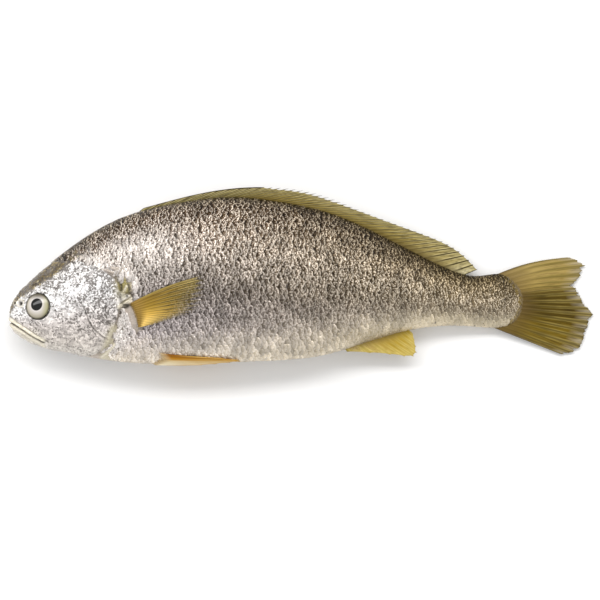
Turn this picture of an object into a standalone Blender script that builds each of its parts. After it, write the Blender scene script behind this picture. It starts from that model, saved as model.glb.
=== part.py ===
# Whole raw fish with its fins, lying on its right flank. The head points to -X,
# the back to +Y, and the left flank faces up. The fish is one solid; each eye is
# a solid of its own in a socket. The origin is the middle of the outer box, on
# the surface that the fish lies on.

import bpy
import math
import numpy as np
from mathutils import Vector

MM = 0.001

# Driving dimensions, in millimetres
SNOUT_X = -146.3
FLESH_END_X = 111.5
GRIP = 1.0
SKIN_ROWS = 68
SKIN_COLUMNS = 42

# Outline of the body without fins, and its thickness, as (x, value) along it
BACK = [(-146.3, -20.1), (-145.3, -14.3), (-143, -10.1), (-131, 1.9), (-115, 14.6),
        (-91, 28.6), (-62, 36.3), (-33.5, 39.2), (-12, 37), (13.5, 31.4), (42, 18.9),
        (70.8, 4.5), (84, 0.1), (100, 1), (107, -2.6), (111.5, -13)]
BELLY = [(-146.3, -20.1), (-145.3, -26.3), (-141, -30.6), (-132, -35.2), (-117.5, -38.6),
         (-93.5, -42.7), (-60, -43.9), (-22, -42.6), (13.5, -39), (31.5, -33.4), (54, -27.1),
         (78, -24.9), (99, -25.9), (107.5, -22.8), (111.5, -13)]
HALF_WIDTH = [(-146.3, 0), (-145, 3.5), (-139, 8), (-131, 11.2), (-115, 15), (-91, 18.4),
              (-55, 19.8), (-30, 19.2), (0, 17.2), (25, 14.4), (50, 11), (85, 6.6),
              (101, 4), (111.5, 0)]
WIDEST_LEVEL = [(-146.3, -20.1), (-131, -16), (-115, -11), (-91, -6), (-55, -2), (-10, -3),
                (30, -6), (60, -9), (85, -12.5), (111.5, -13)]

# Height of the fish's middle plane over the surface: the tail end hangs down to it
MIDDLE_PLANE = [(-146.3, 14.4), (-131, 14.6), (-115, 15.2), (-91, 17), (-55, 18.1), (-30, 17.6),
                (0, 15.8), (25, 13.2), (50, 10.1), (70, 7.8), (94, 5.1), (111.5, 3.2),
                (128, 2), (147, 1.2)]

# Rear edge of the gill cover, as (level, x): level 1 is the back, -1 the belly
GILL_EDGE = [(-1, -107), (-0.85, -99), (-0.65, -95), (-0.4, -91.6), (-0.1, -90.5),
             (0.12, -92.5), (0.32, -99), (1, -104)]
GILL_ROW_X = -92.0
GILL_REACH = 30.0
GILL_STEP = 1.3
GILL_STEP_WIDTH = 0.5
GILL_TOP_LEVEL = 0.32
FLAP_LEVEL = -0.13
FLAP_HEIGHT = 0.05
FLAP_LENGTH = 5.5

# Eye: a turned lens, tipped towards the snout as the cheek is
EYE_AT = (-131.8, -15.2)
EYE_AXIS = (-0.42, 0.10, 0.90)
EYE_RADIUS = 5.9
EYE_PROUD = 1.6
EYE_DEPTH = 2.5
GAP = 0.3

# Mouth: a groove round the snout where the lips meet, up to its corners, as (x, y)
MOUTH = [(-146.2, -22.9), (-143.3, -24.9), (-137.6, -28.5), (-130.5, -32.6)]
MOUTH_HALF_GAP = 0.45
MOUTH_STATIONS = 17
MOUTH_HINGE_X = -127.0
MOUTH_INSIDE = 0.86
MOUTH_OUTSIDE = 1.15

# Nostrils, the rear one larger, as (place, radius)
NOSTRILS = [((-140.5, -14), 1.0), ((-143.4, -14.1), 0.6)]

# Fin plates: half thickness on a ray at its root and tip, and of the web
RAY_ROOT = 0.55
RAY_TIP = 0.32
WEB = 0.22
WEB_REACH = 0.88
ROOT_DEPTH = 2.2

# Back fin, as (ray number, root x, tip x, tip y): spines folded flat, then soft rays
BACK_FIN_RAYS = 33
BACK_FIN_SPINES = 9
BACK_FIN = [(0, -87, -79, 33.9), (3, -72, -54, 40.4), (9, -42, -19, 44.3), (13, -23, 4, 42),
            (19, 4, 31.6, 31.8), (25, 36, 60.8, 21), (29, 58, 79, 12.2), (32, 78.5, 88, 3.2)]

# Tail fin: the ray tips from the upper lobe to the lower one, with the split
TAIL_TIPS = [(134.6, 9.4), (138.8, 7.9), (142.5, 5.2), (140, 0.3), (138.4, -2.9), (135.5, -4.7),
             (137.9, -6.1), (139.2, -8.6), (141.3, -12.8), (144.5, -16.5), (146.3, -19.4),
             (144.5, -23.6), (143.3, -28.1), (142, -31), (140.4, -35.6), (135.9, -38.9),
             (130.5, -39.5)]
TAIL_ROOT_X = 93.0
TAIL_ROOT_BULGE = 8.0
TAIL_ROOT_TOP = -1.2
TAIL_ROOT_BOTTOM = -24.8
TAIL_TOP_BOW = 2.2

# Fin under the tail stem, as (ray number, root x, root y, tip x, tip y)
VENT_FIN_RAYS = 9
VENT_FIN = [(0, 27, -32, 30, -38.3), (2, 31.5, -30.5, 45, -39.6), (4, 37.5, -28.5, 56, -40.4),
            (6, 44.5, -26.3, 57.2, -35.5), (8, 51.5, -25, 55.6, -29)]

# Fin behind the gill cover, as (ray number, root x, root y, tip x, tip y)
BREAST_FIN_RAYS = 15
BREAST_FIN = [(0, -86, -14, -47.3, 0.6), (3, -84.8, -16.4, -46.8, -6.5),
              (7, -83.4, -19.6, -50.7, -16.4), (11, -82.2, -23, -61.5, -20.9),
              (14, -81.6, -25.8, -71, -23.5)]
BREAST_FIN_BOW = 1.7
BREAST_FIN_HEIGHT = 0.95
BREAST_FIN_SINK = 0.8
PRESSED_CENTRE = (-66, -12.5)
PRESSED_ANGLE = 24.0
PRESSED_REACH = (25, 14)
PRESSED_DEPTH = 1.0

# Belly fin, as (ray number, root x, root angle, tip x, tip angle) round the body
BELLY_FIN_RAYS = 6
BELLY_FIN = [(0, -74, 155.5, -40, 162), (1, -73.6, 158, -31.5, 166), (3, -72.8, 164, -36, 170),
             (5, -72, 171, -50, 174.5)]


def smooth_curve(points):
    """Return the cubic spline with even curvature through (position, value) points."""
    at, value = np.array(points, float).T
    step = np.diff(at)
    count = len(at)
    matrix = np.eye(count)
    right = np.zeros(count)
    for i in range(1, count - 1):
        matrix[i, i - 1:i + 2] = step[i - 1], 2 * (step[i - 1] + step[i]), step[i]
        right[i] = 6 * ((value[i + 1] - value[i]) / step[i] - (value[i] - value[i - 1]) / step[i - 1])
    bend = np.linalg.solve(matrix, right)

    def read(x):
        i = np.clip(np.searchsorted(at, x) - 1, 0, count - 2)
        a = (at[i + 1] - x) / step[i]
        b = 1 - a
        cubic = ((a ** 3 - a) * bend[i] + (b ** 3 - b) * bend[i + 1]) * step[i] ** 2 / 6
        return a * value[i] + b * value[i + 1] + cubic

    return read


def turn_along(x):
    """Angle from 0 at the snout to pi at the flesh's end, whose cosine runs along x.

    A profile that is smooth in this angle has a round end instead of a point.
    """
    middle = (SNOUT_X + FLESH_END_X) / 2
    half = (FLESH_END_X - SNOUT_X) / 2
    return np.arccos(np.clip((middle - np.asarray(x, float)) / half, -1, 1))


def profile(points):
    """Return a function of x through the profile's points, round at both ends."""
    curve = smooth_curve([(turn_along(x), value) for x, value in points])
    return lambda x: curve(turn_along(x))


back = profile(BACK)
belly = profile(BELLY)
half_width = profile(HALF_WIDTH)
widest_level = profile(WIDEST_LEVEL)
middle_plane = smooth_curve(MIDDLE_PLANE)
gill_edge = smooth_curve(GILL_EDGE)


def smooth_step(t):
    """Rise smoothly from 0 to 1 while t goes from 0 to 1."""
    t = np.clip(t, 0, 1)
    return t * t * (3 - 2 * t)


def pressed_floor(x, y):
    """Height the lower flank is pressed up to, where its fin lies under it."""
    turn = math.radians(PRESSED_ANGLE)
    dx, dy = x - PRESSED_CENTRE[0], y - PRESSED_CENTRE[1]
    along = (dx * math.cos(turn) + dy * math.sin(turn)) / PRESSED_REACH[0]
    across = (dy * math.cos(turn) - dx * math.sin(turn)) / PRESSED_REACH[1]
    return PRESSED_DEPTH * smooth_step((1.7 - along ** 2 - across ** 2) / 0.7)


def rest_on(z, floor):
    """Lift what lies below the floor up to it, with a soft edge of GRIP each way."""
    over = z - floor
    soft = (over + GRIP) ** 2 / (4 * GRIP)
    return floor + np.where(over < -GRIP, 0, np.where(over > GRIP, over, soft))


def section_half(x, level):
    """Half thickness at a level: an oval, sharper at the back than at the belly."""
    power = 2 - 0.2 * level
    return half_width(x) * np.maximum(1 - np.abs(level) ** power, 0) ** (1 / power)


def skin_point(x, angle):
    """Body surface at x and at an angle round it: 0 back, 90 left flank, 180 belly."""
    level = np.cos(angle)
    reach = np.where(level > 0, back(x) - widest_level(x), widest_level(x) - belly(x))
    y = widest_level(x) + reach * level
    z = middle_plane(x) + np.where(np.sin(angle) < 0, -1, 1) * section_half(x, level)
    return np.stack([x, y, rest_on(z, pressed_floor(x, y))], axis=-1)


def flank_height(x, y, side):
    """Height of the left (side 1) or right (side -1) flank over a point x, y."""
    up = (y - widest_level(x)) / (back(x) - widest_level(x))
    down = (y - widest_level(x)) / (widest_level(x) - belly(x))
    return middle_plane(x) + side * section_half(x, np.where(up > 0, up, down))


def skin_normal(x, angle):
    """Outward direction of the body surface, from its two tangents."""
    nudge = 0.01
    along = skin_point(x + nudge, angle) - skin_point(x - nudge, angle)
    around = skin_point(x, angle + nudge) - skin_point(x, angle - nudge)
    normal = np.cross(along, around)
    return normal / np.linalg.norm(normal, axis=-1, keepdims=True)


def gill_relief(behind, level):
    """Height of the gill cover's edge over the skin, by the distance behind it."""
    reach = smooth_step((GILL_TOP_LEVEL - level) / 0.15) * smooth_step((level + 1) / 0.1)
    swell = 0.35 * np.exp(-(behind / 7) ** 2)
    drop = GILL_STEP * np.exp(-np.maximum(behind, 0) / 6)
    return reach * np.where(behind < GILL_STEP_WIDTH / 2, swell, -drop)


def flap(level):
    """The point of the gill cover, which reaches back over the fin's root."""
    return FLAP_LENGTH * np.exp(-((level - FLAP_LEVEL) / FLAP_HEIGHT) ** 2)


def new_mesh(name, points, faces):
    """Make a mesh object from points in millimetres, with its faces turned outward."""
    mesh = bpy.data.meshes.new(name)
    mesh.from_pydata([Vector(p) * MM for p in points], [], faces)
    mesh.validate()
    obj = bpy.data.objects.new(name, mesh)
    bpy.context.scene.collection.objects.link(obj)
    return obj


def skin_rows():
    """Places of the rings along x, close at both ends, with two on the gill edge."""
    middle = (SNOUT_X + FLESH_END_X) / 2
    half = (FLESH_END_X - SNOUT_X) / 2
    rows = middle - half * np.cos(np.linspace(0, math.pi, SKIN_ROWS + 1))[1:-1]
    rows = rows[np.abs(rows - GILL_ROW_X) > 1.6]
    return np.sort(np.append(rows, [GILL_ROW_X, GILL_ROW_X + GILL_STEP_WIDTH]))


def body():
    """The body: rings round the fish, closed at the snout and at the flesh's end."""
    rows = skin_rows()
    angles = np.arange(SKIN_COLUMNS) * 2 * math.pi / SKIN_COLUMNS
    x, angle = np.meshgrid(rows, angles, indexing="ij")
    level = np.cos(angle)
    pull = smooth_step(1 - np.abs(x - GILL_ROW_X) / GILL_REACH)
    behind = x - GILL_ROW_X
    x = x + pull * (gill_edge(level) + flap(level) - GILL_ROW_X)
    points = skin_point(x, angle) + skin_normal(x, angle) * gill_relief(behind, level)[..., None]
    points[..., 2] = np.maximum(points[..., 2], 0)
    snout = [SNOUT_X, float(back(SNOUT_X)), float(middle_plane(SNOUT_X))]
    end = [FLESH_END_X, float(back(FLESH_END_X)), float(middle_plane(FLESH_END_X))]
    points = [*points.reshape(-1, 3).tolist(), snout, end]
    n = SKIN_COLUMNS
    last = (len(rows) - 1) * n
    faces = []
    for i in range(len(rows) - 1):
        for j in range(n):
            a, b = i * n + j, i * n + (j + 1) % n
            faces.append((a, b, b + n, a + n))
    for j in range(n):
        faces.append((len(points) - 2, (j + 1) % n, j))
        faces.append((len(points) - 1, last + j, last + (j + 1) % n))
    return new_mesh("fish", points, faces)


def fin_plate(name, middle, top, bottom):
    """A closed plate over a grid of points, with its own height up and down at each."""
    rays, steps = middle.shape[:2]
    points = [*(middle + top).reshape(-1, 3).tolist(), *(middle + bottom).reshape(-1, 3).tolist()]
    under = rays * steps
    faces = []
    for i in range(rays - 1):
        for j in range(steps - 1):
            a, b = i * steps + j, (i + 1) * steps + j
            faces.append((a, b, b + 1, a + 1))
            faces.append((under + a + 1, under + b + 1, under + b, under + a))
    rim = [i * steps for i in range(rays)]
    rim += [(rays - 1) * steps + j for j in range(1, steps)]
    rim += [i * steps + steps - 1 for i in range(rays - 2, -1, -1)]
    rim += list(range(steps - 2, 0, -1))
    for a, b in zip(rim, rim[1:] + rim[:1]):
        faces.append((b, a, under + a, under + b))
    return new_mesh(name, points, faces)


def key_rays(keys, count):
    """Read the columns of a ray list at each ray and halfway between the rays."""
    number = np.arange(2 * count - 1) / 2
    keys = np.array(keys, float)
    return [smooth_curve(list(zip(keys[:, 0], column)))(number) for column in keys[:, 1:].T]


def web_or_ray(count, at_ray, at_web):
    """Values for the columns of a fin, which are rays and webs by turns."""
    return np.where(np.arange(2 * count - 1) % 2 == 0, at_ray, at_web)


def flat_fin(name, root, tip, bow, reach, steps):
    """A fin in the middle plane: columns from root to tip, each with its own reach."""
    t = np.linspace(0, 1, steps)[None, :] * reach[:, None]
    run = tip - root
    side = np.stack([-run[:, 1], run[:, 0]], axis=1) / np.linalg.norm(run, axis=1)[:, None]
    plan = root[:, None] + t[..., None] * run[:, None]
    plan = plan + (np.sin(math.pi * t) * bow[:, None])[..., None] * side[:, None]
    middle = np.concatenate([plan, middle_plane(plan[..., :1])], axis=-1)
    ray = RAY_ROOT + (RAY_TIP - RAY_ROOT) * t
    half = np.where((np.arange(len(root)) % 2 == 0)[:, None], ray, WEB)
    lift = np.zeros_like(middle)
    lift[..., 2] = half
    return fin_plate(name, middle, lift, -lift)


def back_fin():
    root_x, tip_x, tip_y = key_rays(BACK_FIN, BACK_FIN_RAYS)
    root = np.stack([root_x, back(root_x) - ROOT_DEPTH], axis=1)
    tip = np.stack([tip_x, tip_y], axis=1)
    folded = np.arange(len(tip)) < 2 * BACK_FIN_SPINES
    reach = np.where(folded, 1, web_or_ray(BACK_FIN_RAYS, 1, WEB_REACH))
    return flat_fin("back_fin", root, tip, np.zeros(len(tip)), reach, 3)


def tail_fin():
    count = len(TAIL_TIPS)
    tips = np.array(TAIL_TIPS, float)
    number = np.arange(2 * count - 1) / 2
    tip = np.stack([np.interp(number, np.arange(count), tips[:, k]) for k in (0, 1)], axis=1)
    part = number / (count - 1)
    root_x = TAIL_ROOT_X + TAIL_ROOT_BULGE * np.sin(math.pi * part)
    root_y = TAIL_ROOT_TOP + (TAIL_ROOT_BOTTOM - TAIL_ROOT_TOP) * part
    bow = TAIL_TOP_BOW * np.clip(1 - 2 * part, 0, 1)
    root = np.stack([root_x, root_y], axis=1)
    return flat_fin("tail_fin", root, tip, bow, web_or_ray(count, 1, WEB_REACH), 4)


def vent_fin():
    root_x, root_y, tip_x, tip_y = key_rays(VENT_FIN, VENT_FIN_RAYS)
    root, tip = np.stack([root_x, root_y], axis=1), np.stack([tip_x, tip_y], axis=1)
    reach = web_or_ray(VENT_FIN_RAYS, 1, WEB_REACH)
    return flat_fin("vent_fin", root, tip, np.zeros(len(tip)), reach, 3)


def breast_fin(side):
    """The fin behind the gill cover, laid back along the flank that it grows from."""
    root_x, root_y, tip_x, tip_y = key_rays(BREAST_FIN, BREAST_FIN_RAYS)
    count = len(root_x)
    reach = web_or_ray(BREAST_FIN_RAYS, 1, WEB_REACH + 0.04)[:, None]
    t = np.linspace(0, 1, 5)[None, :] * reach
    bow = BREAST_FIN_BOW * np.clip(1 - np.arange(count) / 12, 0, 1)[:, None]
    x = root_x[:, None] + t * (tip_x - root_x)[:, None]
    y = root_y[:, None] + t * (tip_y - root_y)[:, None] + bow * np.sin(math.pi * t)
    z = flank_height(x, y, side)
    height = web_or_ray(BREAST_FIN_RAYS, BREAST_FIN_HEIGHT, BREAST_FIN_HEIGHT - 0.35)[:, None]
    up, down = z + height, z - BREAST_FIN_SINK
    if side < 0:
        floor = web_or_ray(BREAST_FIN_RAYS, 0.02, 0.3)[:, None]
        up, down = np.maximum(z, floor) + PRESSED_DEPTH + 0.6, np.maximum(z - height, floor)
    up = np.broadcast_to(up, x.shape)
    down = np.broadcast_to(down, x.shape)
    middle = np.stack([x, y, (up + down) / 2], axis=-1)
    lift = np.zeros_like(middle)
    lift[..., 2] = (up - down) / 2
    return fin_plate("breast_fin", middle, lift, -lift)


def belly_fin(side):
    """One of the paired fins folded back along the belly, each side of its keel."""
    root_x, root_turn, tip_x, tip_turn = key_rays(BELLY_FIN, BELLY_FIN_RAYS)
    t = np.linspace(0, 1, 5)[None, :] * web_or_ray(BELLY_FIN_RAYS, 1, WEB_REACH)[:, None]
    x = root_x[:, None] + t * (tip_x - root_x)[:, None]
    angle = np.radians(root_turn[:, None] + t * (tip_turn - root_turn)[:, None]) * side
    normal = skin_normal(x, angle)
    height = web_or_ray(BELLY_FIN_RAYS, 0.85, 0.55)[:, None, None]
    return fin_plate("belly_fin", skin_point(x, angle), normal * height, -normal * 0.8)


def eye_place(side):
    """Centre of an eye on the cheek, and the direction that it looks in."""
    x, y = EYE_AT
    centre = Vector((x, y, float(flank_height(x, y, side))))
    axis = Vector((EYE_AXIS[0], EYE_AXIS[1], EYE_AXIS[2] * side))
    return centre, axis.normalized()


def turned(name, outline, centre, axis, sides):
    """Turn an outline of (radius, height) points about an axis through centre."""
    turn = axis.to_track_quat("Z", "Y")
    points, faces = [], []
    rings = [p for p in outline if p[0] > 0]
    for radius, height in rings:
        for j in range(sides):
            angle = 2 * math.pi * j / sides
            spot = Vector((radius * math.cos(angle), radius * math.sin(angle), height))
            points.append(centre + turn @ spot)
    for radius, height in (outline[0], outline[-1]):
        points.append(centre + turn @ Vector((0, 0, height)))
    for i in range(len(rings) - 1):
        for j in range(sides):
            a, b = i * sides + j, i * sides + (j + 1) % sides
            faces.append((a, b, b + sides, a + sides))
    last = (len(rings) - 1) * sides
    for j in range(sides):
        faces.append((len(points) - 2, (j + 1) % sides, j))
        faces.append((len(points) - 1, last + j, last + (j + 1) % sides))
    return new_mesh(name, points, faces)


def lens_outline(radius, deep, proud):
    """A cup below with a low dome over it, from the bottom pole to the top one."""
    ball = (radius ** 2 + proud ** 2) / (2 * proud)
    dome = [(radius * k / 6, proud - ball + math.sqrt(ball ** 2 - (radius * k / 6) ** 2))
            for k in (5, 4, 3, 2, 1)]
    return [(0, -deep), (radius * 0.6, -deep), (radius * 0.92, -deep * 0.6), (radius, 0),
            *dome, (0, proud)]


def eye(name, side):
    centre, axis = eye_place(side)
    return turned(name, lens_outline(EYE_RADIUS, EYE_DEPTH, EYE_PROUD), centre, axis, 28)


def eye_socket(side):
    """The room round an eye: its cup, wider by the gap, open to the outside."""
    centre, axis = eye_place(side)
    wide = EYE_RADIUS + GAP
    outline = [(0, -EYE_DEPTH - GAP), (wide * 0.6, -EYE_DEPTH - GAP),
               (wide * 0.93, -EYE_DEPTH * 0.6), (wide, 0), (wide, 4), (0, 4)]
    return turned("socket", outline, centre, axis, 28)


def mouth_groove():
    """A thin horseshoe round the snout, half in the skin, along the line of the lips."""
    stations = MOUTH_STATIONS
    turn = np.linspace(0, math.pi, stations)
    corner, front = MOUTH[-1][0], MOUTH[0][0]
    run = corner + (front - corner) * np.sin(turn)
    y = smooth_curve(MOUTH)(run)
    spread = np.sign(np.cos(turn)) * (flank_height(run, y, 1) - middle_plane(run))
    half_gap = MOUTH_HALF_GAP * (0.4 + 0.6 * np.sin(turn))
    points = []
    for scale, lift in ((MOUTH_OUTSIDE, 1), (MOUTH_OUTSIDE, -1), (MOUTH_INSIDE, -1), (MOUTH_INSIDE, 1)):
        x = MOUTH_HINGE_X + (run - MOUTH_HINGE_X) * scale
        z = middle_plane(run) + spread * scale
        points += np.stack([x, y + lift * half_gap, z], axis=1).tolist()
    starts = [ring * stations for ring in range(4)]
    faces = [tuple(starts), tuple(start + stations - 1 for start in reversed(starts))]
    for k in range(stations - 1):
        for a, b in zip(starts, starts[1:] + starts[:1]):
            faces.append((a + k, a + k + 1, b + k + 1, b + k))
    return new_mesh("mouth_groove", points, faces)


def nostril(place, radius, side):
    x, y = place
    centre = Vector((x, y, float(flank_height(x, y, side))))
    outline = [(0, -radius), (radius * 0.8, -radius * 0.6), (radius, 0), (radius * 0.8, radius * 0.6),
               (0, radius)]
    return turned("nostril", outline, centre, Vector((-0.4, 0.1, side)).normalized(), 8)


def group(name, objects):
    """Put objects into a collection of their own, for one Boolean."""
    collection = bpy.data.collections.new(name)
    bpy.context.scene.collection.children.link(collection)
    for obj in objects:
        bpy.context.scene.collection.objects.unlink(obj)
        collection.objects.link(obj)
    return collection


def combine(obj, others, operation):
    """Join or cut obj with all the others, keep the result and remove the others."""
    tools = group(operation.lower(), others)
    boolean = obj.modifiers.new(operation.lower(), "BOOLEAN")
    boolean.operand_type = "COLLECTION"
    boolean.collection = tools
    boolean.operation = operation
    boolean.solver = "EXACT"
    graph = bpy.context.evaluated_depsgraph_get()
    result = bpy.data.meshes.new_from_object(obj.evaluated_get(graph))
    obj.modifiers.clear()
    obj.data = result
    for other in list(tools.objects):
        bpy.data.objects.remove(other)
    bpy.data.collections.remove(tools)


def material(name, color, roughness, metallic):
    """A Principled material from a linear colour."""
    mat = bpy.data.materials.new(name)
    mat.use_nodes = True
    shader = mat.node_tree.nodes["Principled BSDF"]
    shader.inputs["Base Color"].default_value = (*color, 1)
    shader.inputs["Roughness"].default_value = roughness
    shader.inputs["Metallic"].default_value = metallic
    return mat


def dress(obj, mat):
    """Give an object its one material, and shade it smooth up to sharp edges."""
    obj.data.materials.clear()
    obj.data.materials.append(mat)
    obj.data.shade_smooth()
    obj.data.set_sharp_from_angle(angle=math.radians(40))


for old in list(bpy.data.objects):
    bpy.data.objects.remove(old)

fish = body()
fins = [back_fin(), tail_fin(), vent_fin(), breast_fin(1), breast_fin(-1), belly_fin(1), belly_fin(-1)]
combine(fish, fins, "UNION")
cuts = [eye_socket(1), eye_socket(-1), mouth_groove()]
cuts += [nostril(place, radius, side) for place, radius in NOSTRILS for side in (1, -1)]
combine(fish, cuts, "DIFFERENCE")
dress(fish, material("fish_skin", (0.42, 0.37, 0.31), 0.35, 0.3))

eye_material = material("eye", (0.60, 0.56, 0.47), 0.12, 0)
for eye_name, eye_side in (("eye_left", 1), ("eye_right", -1)):
    dress(eye(eye_name, eye_side), eye_material)
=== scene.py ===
import math

import bpy
import numpy as np
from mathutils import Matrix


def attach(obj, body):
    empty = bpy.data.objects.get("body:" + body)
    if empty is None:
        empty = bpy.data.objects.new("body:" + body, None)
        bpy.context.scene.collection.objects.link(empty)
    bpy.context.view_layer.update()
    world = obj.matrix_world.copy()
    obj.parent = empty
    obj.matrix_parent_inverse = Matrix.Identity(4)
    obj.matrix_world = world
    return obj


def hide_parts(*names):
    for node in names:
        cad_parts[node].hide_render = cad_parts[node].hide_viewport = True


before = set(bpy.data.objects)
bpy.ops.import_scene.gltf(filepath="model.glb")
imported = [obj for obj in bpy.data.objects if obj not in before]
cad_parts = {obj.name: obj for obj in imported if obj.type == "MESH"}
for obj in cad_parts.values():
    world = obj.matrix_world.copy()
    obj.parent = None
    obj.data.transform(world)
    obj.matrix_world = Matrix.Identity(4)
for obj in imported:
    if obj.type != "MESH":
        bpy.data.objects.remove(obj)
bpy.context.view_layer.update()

# Skin. The whole body with its lips, nostrils, eye sockets, cheek bones and gill covers, in one
# piece as skin is. Wet hide over bone and muscle: thin, silvered by guanine crystals below the
# eye, olive brown over the brow. It is tucked into the mouth, the sockets and the gill slits.

# A raw croaker, dead some hours and limp, laid on its right flank: head to -X, back to +Y, left
# flank up. Soft flesh over a backbone: it settles flat where it lies, and the thin tail end hangs
# down to the table. These curves are in millimetres along the fish, as (x, value).
MM = 0.001
SNOUT_X = -146.3
FLESH_END_X = 111.5
BACK = [(-146.3, -20.1), (-145.3, -14.3), (-143, -10.1), (-131, 1.9), (-115, 14.6),
        (-91, 28.6), (-62, 36.3), (-33.5, 39.2), (-12, 37), (13.5, 31.4), (42, 18.9),
        (70.8, 4.5), (84, 0.1), (100, 1), (107, -2.6), (111.5, -13)]
BELLY = [(-146.3, -20.1), (-145.3, -26.3), (-141, -30.6), (-132, -35.2), (-117.5, -38.6),
         (-93.5, -42.7), (-60, -43.9), (-22, -42.6), (13.5, -39), (31.5, -33.4), (54, -27.1),
         (78, -24.9), (99, -25.9), (107.5, -22.8), (111.5, -13)]
HALF_WIDTH = [(-146.3, 0), (-145, 3.5), (-139, 8), (-131, 11.2), (-115, 15), (-91, 18.4),
              (-55, 19.8), (-30, 19.2), (0, 17.2), (25, 14.4), (50, 11), (85, 6.6),
              (101, 4), (111.5, 0)]
WIDEST_LEVEL = [(-146.3, -20.1), (-131, -16), (-115, -11), (-91, -6), (-55, -2), (-10, -3),
                (30, -6), (60, -9), (85, -12.5), (111.5, -13)]
MIDDLE_PLANE = [(-146.3, 14.4), (-131, 14.6), (-115, 15.2), (-91, 17), (-55, 18.1), (-30, 17.6),
                (0, 15.8), (25, 13.2), (50, 10.1), (70, 7.8), (94, 5.1), (111.5, 3.2),
                (128, 2), (147, 1.2)]
GRIP = 1.0
PRESSED_CENTRE = (-66, -12.5)
PRESSED_ANGLE = math.radians(24)
PRESSED_REACH = (25, 14)
PRESSED_DEPTH = 1.0
PRESSED_RIM = (1.0, 1.7)
SECTION_POWER, POWER_TILT = 2.0, 0.2
FLESH_MIDDLE, FLESH_HALF = (SNOUT_X + FLESH_END_X) / 2, (FLESH_END_X - SNOUT_X) / 2


def smooth_curve(points):
    """Cubic spline through (position, value) points: cubics that meet with equal slope and bend."""
    at, value = np.array(points, float).T
    step = np.diff(at)
    inner = np.arange(1, len(at) - 1)
    matrix = np.eye(len(at))
    matrix[inner, inner - 1] = step[:-1]
    matrix[inner, inner] = 2 * (step[:-1] + step[1:])
    matrix[inner, inner + 1] = step[1:]
    slope = np.diff(value) / step
    bend = np.linalg.solve(matrix, np.concatenate([[0], 6 * np.diff(slope), [0]]))

    def read(x):
        """Both ends of the step that x is in, by nearness, plus the step's cubic bend."""
        i = np.clip(np.searchsorted(at, x) - 1, 0, len(step) - 1)
        a = (at[i + 1] - x) / step[i]
        b = 1 - a
        cubic = ((a ** 3 - a) * bend[i] + (b ** 3 - b) * bend[i + 1]) * step[i] ** 2 / 6
        return a * value[i] + b * value[i + 1] + cubic

    return read


def turn_along(x):
    """Angle whose cosine runs from the snout, at 0, to the flesh's end, at pi."""
    return np.arccos(np.clip((FLESH_MIDDLE - np.asarray(x, float)) / FLESH_HALF, -1, 1))


def profile(points):
    """A spline in the angle of turn_along, so that the form is round at both its ends."""
    curve = smooth_curve([(turn_along(x), value) for x, value in points])
    return lambda x: curve(turn_along(x))


back, belly = profile(BACK), profile(BELLY)
half_width, widest_level = profile(HALF_WIDTH), profile(WIDEST_LEVEL)
middle_plane = smooth_curve(MIDDLE_PLANE)


def ease(t):
    """Smooth rise from 0 to 1 as t goes from 0 to 1: three t squared minus two t cubed."""
    t = np.clip(t, 0, 1)
    return t * t * (3 - 2 * t)


def pressed_floor(x, y):
    """Height that the lower fin pushes its flank up to, eased out to 0 at a turned oval's rim."""
    dx, dy = x - PRESSED_CENTRE[0], y - PRESSED_CENTRE[1]
    along = (dx * math.cos(PRESSED_ANGLE) + dy * math.sin(PRESSED_ANGLE)) / PRESSED_REACH[0]
    across = (dy * math.cos(PRESSED_ANGLE) - dx * math.sin(PRESSED_ANGLE)) / PRESSED_REACH[1]
    inner, outer = PRESSED_RIM
    return PRESSED_DEPTH * ease((outer - along ** 2 - across ** 2) / (outer - inner))


def rest_on(z, floor):
    """Anything below the floor comes up to it, with a parabola of GRIP each side of it."""
    over = z - floor
    bent = (over + GRIP) ** 2 / (4 * GRIP)
    return floor + np.where(over < -GRIP, 0, np.where(over > GRIP, over, bent))


def section_half(x, level):
    """Half width times the p-th root of 1 minus level to the p; p is 1.8 at the back, 2.2 below."""
    power = SECTION_POWER - POWER_TILT * level
    return half_width(x) * np.maximum(1 - np.abs(level) ** power, 0) ** (1 / power)


def section(x, turn):
    """The body's ring at x, as y and height over its middle plane: level is the turn's cosine."""
    level = np.cos(turn)
    reach = np.where(level > 0, back(x) - widest_level(x), widest_level(x) - belly(x))
    half = section_half(x, level)
    return widest_level(x) + reach * level, np.where(np.sin(turn) < 0, -half, half)


def skin_point(x, turn):
    """Body surface by place along and turn round from the back, settled on what is under it."""
    y, height = section(x, turn)
    z = rest_on(middle_plane(x) + height, pressed_floor(x, y))
    return np.stack([x, y, z], axis=-1)


def skin_normal(x, turn):
    """Outward direction: cross product of the surface's steps round and along the body."""
    nudge = 0.02
    along = skin_point(x + nudge, turn) - skin_point(x - nudge, turn)
    around = skin_point(x, turn + nudge) - skin_point(x, turn - nudge)
    normal = np.cross(around, along)
    return normal / np.maximum(np.linalg.norm(normal, axis=-1, keepdims=True), 1e-9)


def flank_height(x, y, side):
    """Height of the left (side 1) or right (side -1) flank over a point of the plan."""
    up = (y - widest_level(x)) / (back(x) - widest_level(x))
    down = (y - widest_level(x)) / (widest_level(x) - belly(x))
    return middle_plane(x) + side * section_half(x, np.where(up > 0, up, down))


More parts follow.
